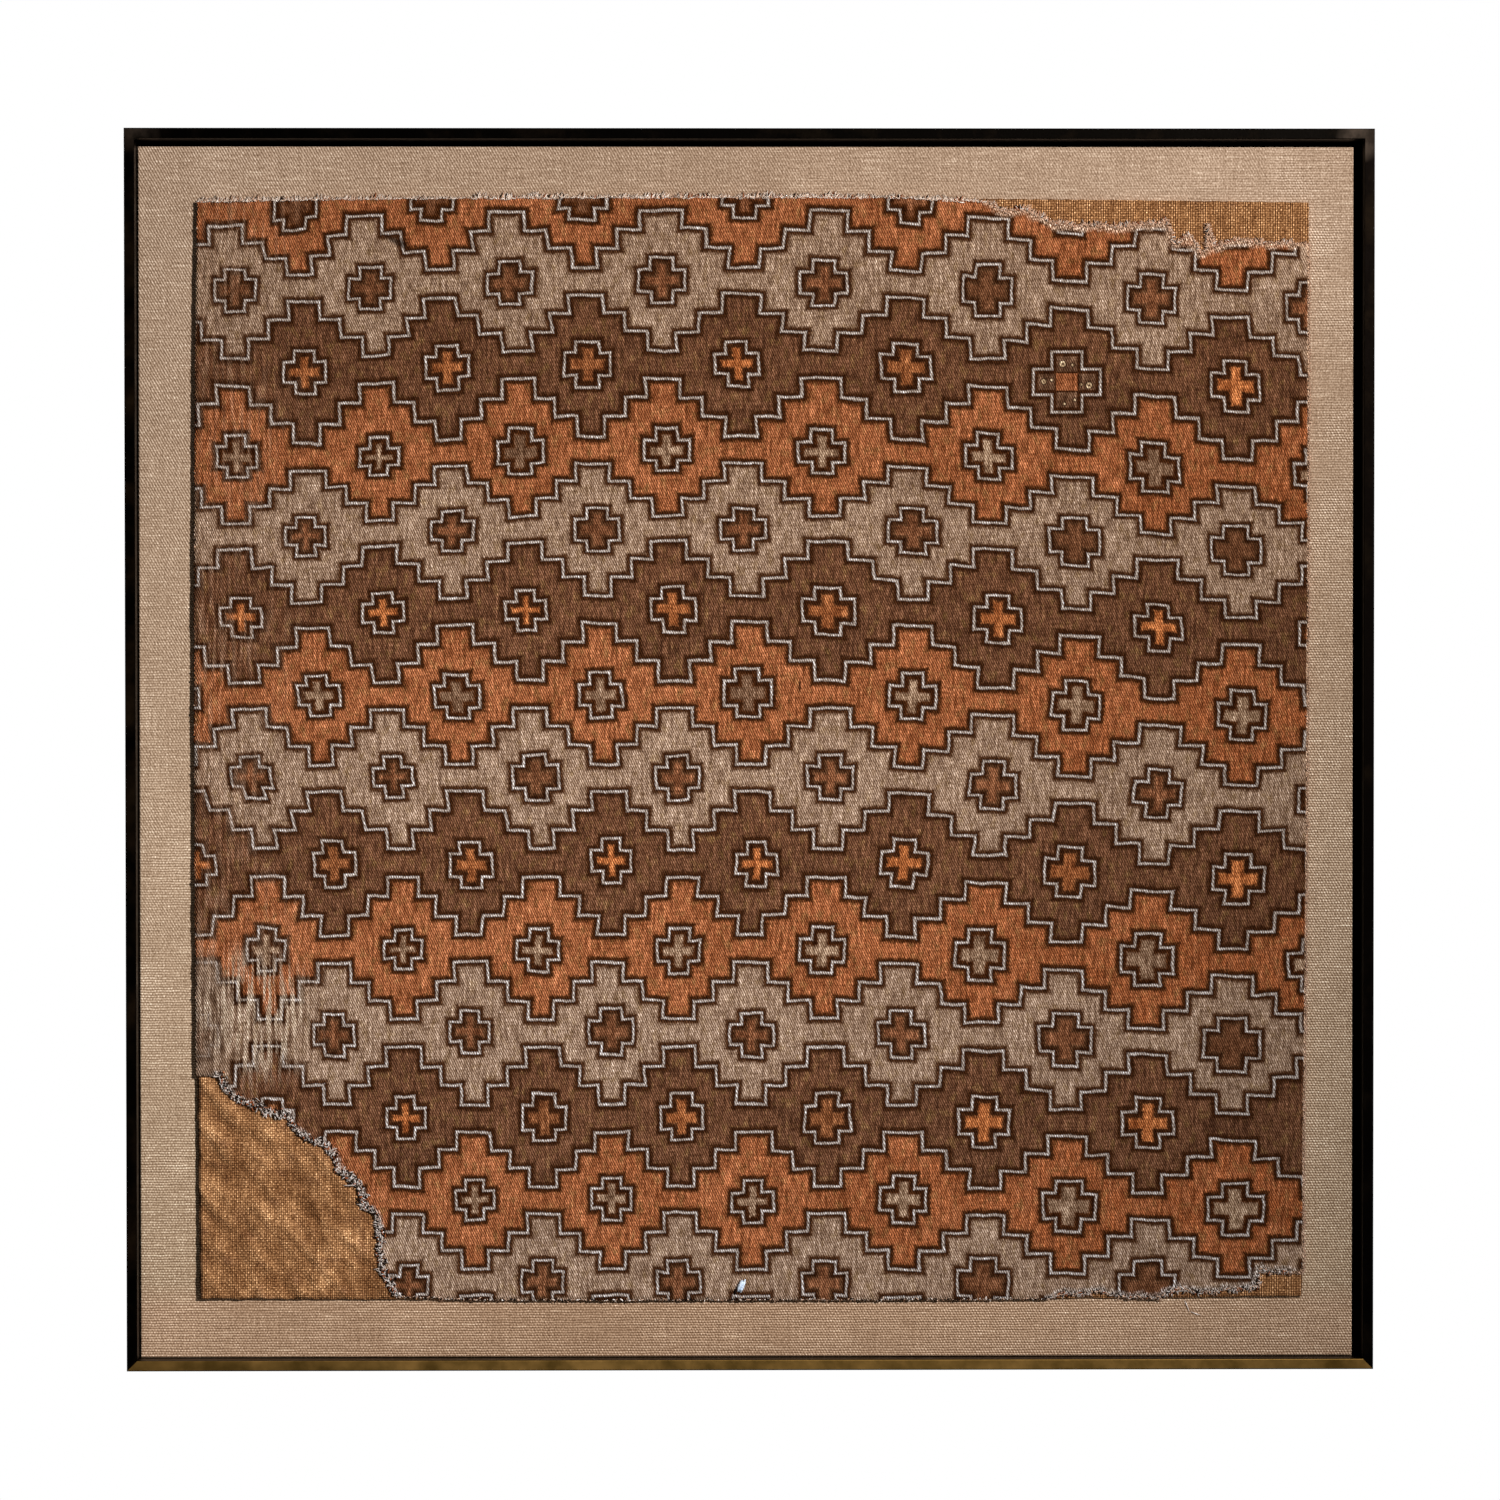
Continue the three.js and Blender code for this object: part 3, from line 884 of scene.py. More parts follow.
# The drift of each row, from the top edge down, and of the two top rows, by diamond
ROWS = 15
ROW_SHIFT_ACROSS = [0, -3.0, -2.4, -0.6, 0.6, 2.4, 3.0, 2.4, 1.8, -1.2, -0.6, 0, 0, 0, 0]
ROW_SHIFT_DOWN = [0, 0.6, 0, 2.1, -1.3, -3.0, -1.6, -1.4, -0.3, 1.4, 1.8, 3.5, 2.4, 2.4, 2.4]
FIRST_ROW_SHIFT = [0.6, -2.6, -5.2, 0, 4.0, -0.8, -0.8, -3.0]

# The drift of some parts: the lower left, the middle, the left ends of rows 5 to 9, the top edge
LOWER_LEFT_SHIFT = 20.4
MIDDLE_SHIFT = 2.4
LEFT_SHIFT = {3: 0, 5: -2.4, 6: -3.0, 7: -6.4, 8: -3.4, 9: -3.0, 11: 0}
TOP_EDGE_SHIFT = -5.5
LEFT_DROP = 5.0
RIGHT_DROP = 15.6
CORNER_DROP = 4.5


def fades(low, high, value):
    """A soft step from 1 at low to 0 at high."""
    return 1 - smooth(low, high, value)


def place_of(diamond, row):
    """Where the painter put a point of the lattice, across and up in millimetres."""
    wider = np.where(diamond > 4.3, diamond - 3.4, np.maximum(diamond - 2.5, 0) ** 2 / 3.6)
    x = FIRST_DIAMOND + DIAMOND_LEFT * diamond + (DIAMOND_RIGHT - DIAMOND_LEFT) * wider
    x = x + LOWER_LEFT_SHIFT * smooth(4.8, 8.6, row) * np.clip(1 - diamond / 4.5, 0, 1.2)
    x = x + np.interp(row, np.arange(ROWS), ROW_SHIFT_ACROSS)
    in_middle = smooth(3.6, 4.6, diamond) * fades(6, 7, diamond)
    x = x + MIDDLE_SHIFT * in_middle * (1 - 2 * smooth(5, 8.5, row))
    x = x + np.interp(diamond, np.arange(8), FIRST_ROW_SHIFT) * fades(1.1, 1.9, row)
    left_shift = np.interp(row, list(LEFT_SHIFT), list(LEFT_SHIFT.values()))
    x = x + left_shift * fades(1.2, 2.6, diamond)
    x = x + TOP_EDGE_SHIFT * fades(0.2, 0.9, row) * fades(2.6, 3.4, diamond)
    down = ROW * (row - 1) + np.interp(row, np.arange(ROWS), ROW_SHIFT_DOWN)
    down = down + LEFT_DROP * fades(0, 2.6, diamond) * fades(4.5, 6.8, row)
    down = down + RIGHT_DROP * smooth(3.7, 7.2, diamond) * (1 - 0.62 * smooth(5, 12, row))
    down = down + CORNER_DROP * fades(0.2, 0.9, diamond) * fades(0.3, 0.9, row)
    return x, FIRST_ROW - down


def lattice(x, z):
    """The diamond and row counts at points of the cloth, found by repeated correction."""
    diamond = (x - FIRST_DIAMOND) / 90
    row = 1 + (FIRST_ROW - z) / ROW
    for _ in range(30):
        px, pz = place_of(diamond, row)
        diamond = diamond + (x - px) / 92
        row = row - (z - pz) / ROW
    return np.stack([diamond, row], axis=-1)


TEARS = [painted_runs[name] for name in ("tear_upper_right", "tear_lower_right", "tear_lower_left")]
CUTS = [painted_runs[name] for name in BOW]


def edge_map(x, z):
    return np.stack([run_distance(x, z, TEARS), run_distance(x, z, CUTS)], axis=-1)


painted, painted_area = cloth_shell(
    "painted_plain_weave", painted_outline, painted_back, painted_front,
    {"lattice": lattice, "edges": edge_map},
)
print("painted cloth:", len(painted.data.polygons), "faces,", round(painted_area, 4), "m2")

# %% [markdown]
# ## Ochre cloth
#
# The support is an even plain weave of cotton, 1.28 by 1.48 mm, dyed ochre by hand. The dye is
# uneven: bright threads, brown and mauve blotches and upright streaks. Warp and weft show about
# equally, so the ridges are strong and the checkerboard is weak, and the relief is drawn into the
# colour as painted shade, with a dark pit between each four threads. The free corner at the lower
# left is creased on the slant, and the creases darken the colour as painted shade. The strips at
# the right lie flat and show their upright threads, 1.5 mm apart. A painted shadow darkens the
# cloth along its left edge.

# %% Ochre finish
OCHRE_ACROSS = 1.28
OCHRE_UP = 1.48
WEAVE_DEPTH = 0.2
BLOTCH = 16.0
UPRIGHT_THREAD = 1.5
CREASE = 15.0
CREASE_LENGTH = 2.6
CREASE_DEPTH = 10.0
CREASE_SLANT = -0.85
FLAT_FROM = (-150.0, -50.0)
DYE = ("#6a4122", "#a8784e")

ochre_finish, tree, shader = new_material(
    "ochre cotton, plain weave", Roughness=0.92, Specular_IOR_Level=0.05
)
place, here_x, here_z = on_map(tree, "weave")
relief, twist = plain_weave(tree, place, OCHRE_ACROSS, OCHRE_UP, 0.4, 0.9, 0.8, wander=0.35)
blotches = add(
    tree, "TexNoise", place, Scale=1 / BLOTCH, Detail=3.0, Roughness=0.55, Distortion=0.6
)
streaks = thread_noise(tree, place, 4.0, 30.0)
warp = thread_noise(tree, place, 1.3, 9.0)
weft = thread_noise(tree, place, 7.0, 1.5)
fuzz = thread_noise(tree, place, 0.9, 0.9)
mauve = thread_noise(tree, place, 12.0, 12.0, detail=3.0)

# Dye: evener on the flat strips at the right; along the left edge a dark brown painted shadow
flat_side = add(tree, "MapRange", here_x, *FLAT_FROM, 0.0, 1.0)
dyed = add(tree, "MapRange", add(tree, "Math ADD", blotches, streaks), 0.56, 1.34, 0.0, 1.0)
evened = add(tree, "Math MULTIPLY", flat_side, 0.6)
dyed = add(tree, "Mix", evened, dyed, 0.5, data_type="FLOAT")
dye = cover(tree, add(tree, "MixRGB", dyed, *DYE), mauve, 0.54, 0.70, 0.4, "#724a33")
to_left_edge = on_map(tree, "edges")[1]
# Painted shadow: dark brown along the left edge of the cloth
dye = cover(tree, dye, to_left_edge, 2.4, 0.9, 0.85, "#2e190c")

# Creases on the slant in the free corner, which also darken the colour as painted shade; upright
# threads on the flat strips
creased = add(tree, "Math SUBTRACT", 1.0, flat_side)
slanting = add(
    tree, "Mapping", place, vector_type="TEXTURE",
    Rotation=(0, 0, CREASE_SLANT), Scale=(CREASE_LENGTH, 1, 1),
)
creases = add(tree, "TexNoise", slanting, Scale=1 / CREASE, Detail=1.0, Roughness=0.5)
creases = add(tree, "Math MULTIPLY", add(tree, "Math SUBTRACT", creases, 0.5), creased)
upright = add(tree, "Math MULTIPLY", here_x, 2 * math.pi / UPRIGHT_THREAD)
upright = add(tree, "Math MULTIPLY", add(tree, "Math SINE", upright), flat_side)

# The relief and the creases darken the colour where they dip: painted shade
colour = shade_by(tree, dye, [
    (relief, 0.95, 0.0),
    (warp, 2.3, 0.5),
    (weft, 1.9, 0.5),
    (fuzz, 4.7, 0.5),
    (creases, 2.2, 0.0),
    (upright, 0.65, 0.0),
])
height = add(tree, "Math MULTIPLY_ADD", creases, CREASE_DEPTH / WEAVE_DEPTH, relief)
surface(tree, shader, colour, height, WEAVE_DEPTH)
support.data.materials.append(ochre_finish)
print("ochre nodes:", len(tree.nodes))

# %% [markdown]
# ## Paint on the old cloth: the hand
#
# The lattice is regular, and a painter's hand is not. Three noises move every line: a slow one,
# by a few millimetres over the reach of a finger, a quicker one by about a millimetre, and a
# fine one where the brush trembles on the threads.

# %% The hand's wander
DIAMOND_MEAN = 92.0
WIDENING = (-110.0, 130.0)
WANDER = [(26.0, 3.6, 1.0), (6.0, 1.1, 1.0), (1.6, 0.35, 0.0)]

painted_finish, tree, shader = new_material(
    "painted cotton, plain weave", Roughness=0.93, Specular_IOR_Level=0.03
)
place, here_x, here_z = on_map(tree, "weave")
counts = add(tree, "UVMap", uv_map="lattice")
for reach_mm, amount_mm, detail in WANDER:
    wobble = add(tree, "TexNoise", place, Scale=1 / reach_mm, Detail=detail)
    size = (amount_mm / DIAMOND_MEAN, amount_mm / ROW, 0)
    middle = (-size[0] / 2, -size[1] / 2, 0)
    shift = add(tree, "VectorMath MULTIPLY_ADD", wobble.outputs["Color"], size, middle)
    counts = add(tree, "VectorMath ADD", counts, shift)
split = add(tree, "SeparateXYZ", counts)
diamond = split.outputs["X"]
row = split.outputs["Y"]
width = add(tree, "MapRange", here_x, *WIDENING, DIAMOND_LEFT, DIAMOND_RIGHT)


def in_its_diamond(tree, diamond, offset_by, row_number):
    """Where a point lies across its diamond, -0.5 to 0.5, and three dice for that diamond."""
    odd = add(tree, "Math FLOORED_MODULO", offset_by, 2.0)
    offset = add(tree, "Math MULTIPLY", odd, 0.5)
    moved = add(tree, "Math SUBTRACT", diamond, offset)
    from_middle = add(tree, "Math WRAP", moved, 0.5, -0.5)
    which = add(tree, "CombineXYZ", add(tree, "Math ROUND", moved), row_number, 0.0)
    dice = add(tree, "TexWhiteNoise", which, noise_dimensions="2D")
    return from_middle, dice.outputs["Color"]


print("noises in the hand:", len(WANDER))

# %% [markdown]
# ## Paint: the stepped edge between two rows
#
# The border between two rows climbs over each diamond in steps and falls again. It is the union
# of four strips, each lower and wider than the last, and the distance to the nearest strip tells
# how far a point is from the border, on either side. Dice nudge each diamond a little.

# %% Stepped border
STEP_HEIGHT = 11.25
STEPS = [(0.12, -1.5), (0.26, -0.5), (0.405, 0.5)]
NUDGE = 2.4
ROOM = 0.016
FAR = 1000.0

row_above = add(tree, "Math FLOOR", row)
from_middle, dice = in_its_diamond(tree, diamond, row_above, row_above)
dice = add(tree, "SeparateColor", dice)
across = add(tree, "Math MULTIPLY", from_middle, width)
nudged = add(tree, "Math MULTIPLY_ADD", dice.outputs[0], NUDGE, across)
side_way = add(tree, "Math ABSOLUTE", add(tree, "Math SUBTRACT", nudged, NUDGE / 2))
in_row = add(tree, "Math SUBTRACT", row, row_above)
down = add(tree, "Math MULTIPLY_ADD", in_row, ROW, -ROW / 2)
roomy = add(tree, "Math MULTIPLY_ADD", dice.outputs[1], ROOM, -ROOM / 2)

border = add(tree, "Math SUBTRACT", 1.5 * STEP_HEIGHT, down)
for share, level in STEPS:
    edge = add(tree, "Math MULTIPLY", add(tree, "Math ADD", roomy, share), width)
    beside = add(tree, "Math SUBTRACT", side_way, edge)
    above = add(tree, "Math SUBTRACT", level * STEP_HEIGHT, down)
    border = add(tree, "Math MINIMUM", border, add(tree, "Math MAXIMUM", beside, above))
below = add(tree, "Math LESS_THAN", border, 0.0)
band = add(tree, "Math ADD", row_above, below)
band_colour = add(tree, "Math FLOORED_MODULO", band, 3.0)
print("nodes with the stepped border:", len(tree.nodes))

# %% [markdown]
# ## Paint: the crosses
#
# Each diamond holds a cross of two bars, and the distance to its outline is made the same way.
# The crosses grow from left to right, most of all at the lower right, and dice vary the size and
# the place of each. One diamond in the upper right has a larger, worked cross, and one at the
# right edge is cut off before its cross.

# %% Crosses
CROSS_LONG = 13.0
CROSS_SHORT = 6.2
GROWTH = (-0.9, 1.9)
FOOT_GROWTH = 1.2
LUCK = (3.6, 2.4, 1.6)
NO_CROSS = (334.0, -229.0)
NO_CROSS_REACH = 20.0

cross_row = add(tree, "Math ROUND", row)
next_row = add(tree, "Math ADD", cross_row, 1.0)
from_middle, dice = in_its_diamond(tree, diamond, next_row, cross_row)
middle = tuple(-size / 2 for size in LUCK)
luck = add(tree, "SeparateXYZ", add(tree, "VectorMath MULTIPLY_ADD", dice, LUCK, middle))
cross_across = add(tree, "Math MULTIPLY_ADD", from_middle, width, luck.outputs["X"])
cross_in_row = add(tree, "Math SUBTRACT", row, cross_row)
cross_down = add(tree, "Math MULTIPLY_ADD", cross_in_row, ROW, luck.outputs["Y"])
sideways = add(tree, "Math ABSOLUTE", cross_across)
upright = add(tree, "Math ABSOLUTE", cross_down)
to_right = add(tree, "MapRange", here_x, -320.0, 300.0, *GROWTH)
right_half = add(tree, "MapRange", here_x, 0.0, 200.0, 0.0, FOOT_GROWTH)
lower_half = add(tree, "MapRange", here_z, 0.0, -200.0, 0.0, 1.0)
lower_right = add(tree, "Math MULTIPLY", right_half, lower_half)
grown = add(tree, "Math ADD", to_right, lower_right)
bigger = add(tree, "Math ADD", luck.outputs["Z"], grown)
long_bar = add(tree, "Math ADD", bigger, CROSS_LONG)
short_bar = add(tree, "Math MULTIPLY_ADD", grown, 0.5, luck.outputs["Z"])
short_bar = add(tree, "Math ADD", short_bar, CROSS_SHORT)


def crossed(tree, sideways, upright, bars_of_cross):
    """How far a point is outside the outline of crossed bars, less than zero inside."""
    nearest = FAR
    for reach_across, reach_up in bars_of_cross:
        beside = add(tree, "Math SUBTRACT", sideways, reach_across)
        above = add(tree, "Math SUBTRACT", upright, reach_up)
        nearest = add(tree, "Math MINIMUM", nearest, add(tree, "Math MAXIMUM", beside, above))
    return nearest


cross = crossed(tree, sideways, upright, ((long_bar, short_bar), (short_bar, long_bar)))
from_no_cross = add(tree, "VectorMath DISTANCE", place, (*NO_CROSS, 0))
no_cross = (NO_CROSS_REACH, NO_CROSS_REACH + 1, 100.0, 0.0)
cross = add(tree, "Math ADD", add(tree, "MapRange", from_no_cross, *no_cross), cross)
print("nodes with the crosses:", len(tree.nodes))

# %% Outline of the worked cross
WORKED_CROSS = (190.5, 221.5)
WORKED_BARS = ((20.2, 7.7), (9.1, 18.2))
WORKED_REACH = 30.0

worked_from = add(tree, "VectorMath SUBTRACT", place, (*WORKED_CROSS, 0))
worked_size = add(tree, "SeparateXYZ", add(tree, "VectorMath ABSOLUTE", worked_from))
worked = crossed(tree, worked_size.outputs["X"], worked_size.outputs["Y"], WORKED_BARS)
worked_off = add(tree, "Math MAXIMUM", worked_size.outputs["X"], worked_size.outputs["Y"])
is_worked = add(tree, "Math LESS_THAN", worked_off, WORKED_REACH)
cross = add(tree, "Mix", is_worked, cross, worked, data_type="FLOAT")
print("nodes with the worked cross:", len(tree.nodes))

# %% [markdown]
# ## Paint: colours and brushwork
#
# Five colours: orange, grey-tan, brown, a dark brown outline, and a white line drawn over the
# outline's middle. The paint soaked into the threads unevenly, so every colour has a deeper and
# a fainter tone, mixed by a noise the size of a brush stroke and another along the threads. The
# madder in the orange is stronger towards the lower right, and an olive tint shows in spots.

# %% Colours
ORANGE = ("#7b4628", "#ab6b47")
GREY = ("#816755", "#a68b76")
BROWN = ("#503323", "#754e37")
FILL_DEEP = ("#745844", "#633b25", "#96532c")
FILL_FAINT = ("#a98d74", "#8b5a3d", "#bb7444")
FILL_BROWNED = "#5a3a26"
MADDER = "#fbe2c6"
OLIVE = "#7c6038"
OUTLINE_ON = ("#4a2710", "#553824", "#3e2312")
OUTLINE_DEEP = "#351b0b"
WHITE = ("#a1958d", "#cdc2bb")


def in_steps(tree, value, colours):
    """One of several colours, by a value from 0 to 1 in equal steps."""
    node = add(tree, "ValToRGB", value)
    ramp = node.color_ramp
    ramp.interpolation = "CONSTANT"
    ramp.elements[1].position = 1 / len(colours)
    for k in range(2, len(colours)):
        ramp.elements.new(k / len(colours))
    for element, colour in zip(ramp.elements, colours):
        element.color = linear(colour)
    return node


def by_count(tree, count, colours):
    """One of three colours by a count from 0 to 2."""
    return in_steps(tree, add(tree, "Math MULTIPLY_ADD", count, 1 / 3, 1 / 6), colours)


brush = thread_noise(tree, place, 6.0, 14.0, detail=4.0)
pools = thread_noise(tree, place, 45.0, 45.0)
spots = thread_noise(tree, place, 5.0, 8.0, detail=3.0)
warp = thread_noise(tree, place, 1.5, 11.0)
weft = thread_noise(tree, place, 8.0, 1.6)
fuzz = thread_noise(tree, place, 0.9, 1.7)
stroke = add(tree, "Math MULTIPLY_ADD", brush, 0.6, warp)
soaked = add(tree, "Math MULTIPLY_ADD", pools, 0.6, stroke)
faint = add(tree, "MapRange", soaked, 0.82, 1.38, 0.0, 1.0)

# Madder, in the orange alone
to_lower_right = add(tree, "VectorMath DOT_PRODUCT", place, (1.0, -0.6, 0))
stronger = add(tree, "MapRange", to_lower_right, -100.0, 420.0, 0.1, 0.75)
in_strokes = add(tree, "MapRange", brush, 0.4, 0.62, 0.2, 1.0)
stronger = add(tree, "Math MULTIPLY", stronger, in_strokes)
is_orange = add(tree, "Math LESS_THAN", band_colour, 0.5)
stronger = add(tree, "Math MULTIPLY", stronger, is_orange)

deep_field = by_count(tree, band_colour, (ORANGE[0], GREY[0], BROWN[0]))
faint_field = by_count(tree, band_colour, (ORANGE[1], GREY[1], BROWN[1]))
field = add(tree, "MixRGB", faint, deep_field, faint_field)
madder = add(tree, "MixRGB MULTIPLY", 1.0, field, MADDER)
field = add(tree, "MixRGB", stronger, field, madder)
field = cover(tree, field, spots, 0.52, 0.70, 0.5, OLIVE)

# The crosses that the top edge cuts are brown, as in the second row
cut_off = add(tree, "Math LESS_THAN", cross_row, 0.5)
cross_count = add(tree, "Math FLOORED_MODULO", cross_row, 3.0)
cross_count = add(tree, "Math ADD", cross_count, cut_off)
deep_fill = by_count(tree, cross_count, FILL_DEEP)
faint_fill = by_count(tree, cross_count, FILL_FAINT)
fill_colour = add(tree, "MixRGB", faint, deep_fill, faint_fill)
fill_colour = cover(tree, fill_colour, luck.outputs["Z"], -0.1, 0.8, 0.75, FILL_BROWNED)
in_cross = add(tree, "Math LESS_THAN", cross, 0.0)
paint = add(tree, "MixRGB", in_cross, field, fill_colour)
print("nodes with the colours:", len(tree.nodes))

# %% Outlines and white lines
LINE_HALF = 0.56
OUTLINE_HALF = 3.3
CROSS_FLANK = 0.7
RAGGED = 1.6

border_off = add(tree, "Math MULTIPLY", add(tree, "Math ABSOLUTE", border), 0.95)
cross_off = add(tree, "Math ABSOLUTE", cross)
line_off = add(tree, "Math MINIMUM", border_off, cross_off)
ragged = add(tree, "TexNoise", place, Scale=1 / RAGGED, Detail=2.0)
closer = add(tree, "Math MULTIPLY_ADD", in_cross, -CROSS_FLANK, line_off)
bled = add(tree, "Math MULTIPLY_ADD", ragged, 2.4, closer)
outline = by_count(tree, band_colour, OUTLINE_ON)
outline = cover(tree, outline, bled, 4.2, 2.4, 1.0, OUTLINE_DEEP)
paint = cover(tree, paint, bled, OUTLINE_HALF + 2.0, OUTLINE_HALF + 0.4, 1.0, outline)
skipped = add(tree, "Math MULTIPLY_ADD", ragged, 0.5, line_off)
white = add(tree, "MixRGB", brush, *WHITE)
paint = cover(tree, paint, skipped, LINE_HALF + 0.75, LINE_HALF - 0.3, 1.0, white)
print("nodes with the lines:", len(tree.nodes))

# %% [markdown]
# ## Paint: what fills the worked cross
#
# It is filled with brown-grey, an orange square with a dark rim sits in its middle, and pale
# curls lie in its arms: a ring is the distance to a point, less a radius.

# %% Filling of the worked cross
WORKED_FILL = ("#4d3325", "#70523d")
SQUARE_HALF = (6.5, 5.2)
CURL_RIM = "#2a180e"
CURL_PALE = "#b59c7c"
CURLS = [
    (-2.5, 10.8, 1.2), (3.5, 10.2, 0.2), (13.4, -2.1, 1.2), (8.6, -1.5, 0.2),
    (-13.9, 0.3, 0.9), (-9.1, 1.2, 0.2), (-1.6, -13.2, 0.2), (4.7, -10.8, 0.2),
]
worked_fill = add(tree, "MixRGB", faint, *WORKED_FILL)
paint = cover(tree, paint, worked, -2.6, -3.4, 1.0, worked_fill)
square = add(tree, "VectorMath ABSOLUTE", worked_from)
square = add(tree, "VectorMath SUBTRACT", square, (*SQUARE_HALF, 0))
square = add(tree, "SeparateXYZ", square)
square_off = add(tree, "Math MAXIMUM", square.outputs["X"], square.outputs["Y"])
paint = cover(tree, paint, square_off, 1.3, 0.7, 1.0, OUTLINE_DEEP)
paint = cover(tree, paint, square_off, 0.2, -0.4, 1.0, add(tree, "MixRGB", faint, *ORANGE))
curl_off = FAR
for curl_x, curl_z, radius in CURLS:
    to_curl = add(tree, "VectorMath DISTANCE", worked_from, (curl_x, curl_z, 0))
    from_ring = add(tree, "Math ABSOLUTE", add(tree, "Math SUBTRACT", to_curl, radius))
    curl_off = add(tree, "Math MINIMUM", curl_off, from_ring)
paint = cover(tree, paint, curl_off, 1.5, 0.9, 0.8, CURL_RIM)
paint = cover(tree, paint, curl_off, 0.8, 0.3, 0.95, CURL_PALE)
print("curls:", len(CURLS))

# %% [markdown]
# ## Paint: the wear
#
# Along the left edge the cloth is worn: upright streaks, where the paint has rubbed off the warp
# threads, most of all in one patch above the torn corner. The torn edges are frayed to loose
# tufts, and a pale line runs along the cut edge at the right: pale warp ends and a painted
# highlight where that edge faces the lamp. A dark oval stain lies near the upper left, one short
# slit shows in the middle of the cloth, and one white line is broken.

# %% Wear and stains
WORN_REACH = 75.0
WORN_PATCH = (-300.0, -160.0)
SCRAPED = ("#4c382c", "#8f7663")
BARED = ("#9a7a63", "#bfaa94")
worn_edge = add(tree, "MapRange", here_x, EDGE_LEFT, EDGE_LEFT + WORN_REACH, 1.0, 0.0)
worn_patch = add(tree, "MapRange", pools, 0.44, 0.58, 0.25, 1.0)
streak = thread_noise(tree, place, 2.6, 34.0, detail=3.0)
rubbed = add(tree, "MapRange", streak, 0.47, 0.60, 0.0, 0.5)
pulled = add(tree, "MapRange", streak, 0.40, 0.47, -0.5, 0.0)
to_patch = add(tree, "VectorMath DISTANCE", place, (*WORN_PATCH, 0))
in_patch = add(tree, "MapRange", to_patch, 25.0, 50.0, 1.0, 0.0)
worn = add(tree, "Math MULTIPLY", worn_edge, worn_patch)
worn = add(tree, "Math MAXIMUM", worn, add(tree, "Math MULTIPLY", in_patch, 1.5))
scraped = add(tree, "VectorMath SUBTRACT", place, (EDGE_LEFT, WORN_PATCH[1], 0))
scraped = add(tree, "VectorMath MULTIPLY", scraped, (1.0, 0.5, 0))
scraped = add(tree, "VectorMath LENGTH", scraped)
paint = cover(tree, paint, scraped, 22.0, 14.0, 0.75, add(tree, "MixRGB", brush, *SCRAPED))
bared = add(tree, "MixRGB", in_patch, *BARED)
paint = add(tree, "MixRGB", add(tree, "Math MULTIPLY", worn, rubbed), paint, bared)
cracks = add(tree, "Math MULTIPLY", worn, pulled)

# Tufts along the torn edges: grey and black low down, pinkish cream high up
GREY_TUFTS = ("#2c1d15", "#c4b5aa")
PINK_TUFTS = ("#7d5a43", "#d9b9a0")
EDGE_THREADS_AND_HIGHLIGHT = "#c8a78d"
to_tear, to_cut = on_map(tree, "edges")[1:]
tuft_tone = add(tree, "MapRange", fuzz, 0.42, 0.58, 0.0, 1.0)
grey_tufts = add(tree, "MixRGB", tuft_tone, *GREY_TUFTS)
pink_tufts = add(tree, "MixRGB", tuft_tone, *PINK_TUFTS)
tufts = cover(tree, grey_tufts, here_z, -50.0, 50.0, 1.0, pink_tufts)
torn = add(tree, "Math MULTIPLY_ADD", brush, 6.0, to_tear)
paint = cover(tree, paint, torn, 7.5, 4.5, 0.85, tufts)
# Pale warp ends and a painted highlight along the right cut edge
on_right = add(tree, "MapRange", here_x, 300.0, 310.0, 0.0, 1.0)
ends = add(tree, "Math MULTIPLY_ADD", ragged, 0.9, to_cut)
ends = add(tree, "MapRange", ends, 1.5, 2.1, 0.9, 0.0)
paint = add(tree, "MixRGB", add(tree, "Math MULTIPLY", on_right, ends), paint, EDGE_THREADS_AND_HIGHLIGHT)

# The stain is an oval: its run and its width count differently
STAIN = (-212.0, 305.5)
STAIN_RUN = (0.9, -0.44)
STAIN_NARROW = 3.6
STAINED = "#1d1009"
run_x, run_z = STAIN_RUN
to_stain = add(tree, "VectorMath SUBTRACT", place, (*STAIN, 0))
stain_along = add(tree, "VectorMath DOT_PRODUCT", to_stain, (run_x, run_z, 0))
stain_across = add(tree, "VectorMath DOT_PRODUCT", to_stain, (-run_z, run_x, 0))
stain_across = add(tree, "Math MULTIPLY", stain_across, STAIN_NARROW)
oval = add(tree, "VectorMath LENGTH", add(tree, "CombineXYZ", stain_along, stain_across, 0.0))
oval = add(tree, "Math ADD", add(tree, "Math MULTIPLY", brush, 8.0), oval)
paint = cover(tree, paint, oval, 14.0, 8.0, 0.8, STAINED)

SLIT = (29.7, 38.5)
BREAK = (-29.1, 55.5)
to_slit = add(tree, "VectorMath SUBTRACT", place, (*SLIT, 0))
to_slit = add(tree, "VectorMath LENGTH", add(tree, "VectorMath MULTIPLY", to_slit, (1.0, 0.18, 0)))
slit = add(tree, "MapRange", to_slit, 0.5, 0.9, 0.9, 0.0)
to_break = add(tree, "VectorMath DISTANCE", place, (*BREAK, 0))
gap = add(tree, "MapRange", to_break, 0.7, 1.2, 0.85, 0.0)
paint = add(tree, "MixRGB", add(tree, "Math MAXIMUM", slit, gap), paint, OUTLINE_DEEP)
print("nodes with the wear:", len(tree.nodes))

# %% [markdown]
# ## The old cloth's weave
#
# The painted cloth is a warp-faced plain weave of hard-twisted cotton. The frequencies in the
# photograph give 0.71 mm between warp threads and 1.48 mm between weft threads. The lamp shines
# across the checkerboard, so its relief shows as steep dashes, and the relief and the twist are
# also drawn into the colour as painted shade and highlight along those dashes. Paint sits on the
# tops of the threads, and the gaps between them stay dark: partly thread that the paint missed,
# partly painted shade.

# %% Painted finish
PAINTED_ACROSS = 0.71
PAINTED_UP = 1.48
PAINTED_RELIEF = 0.25

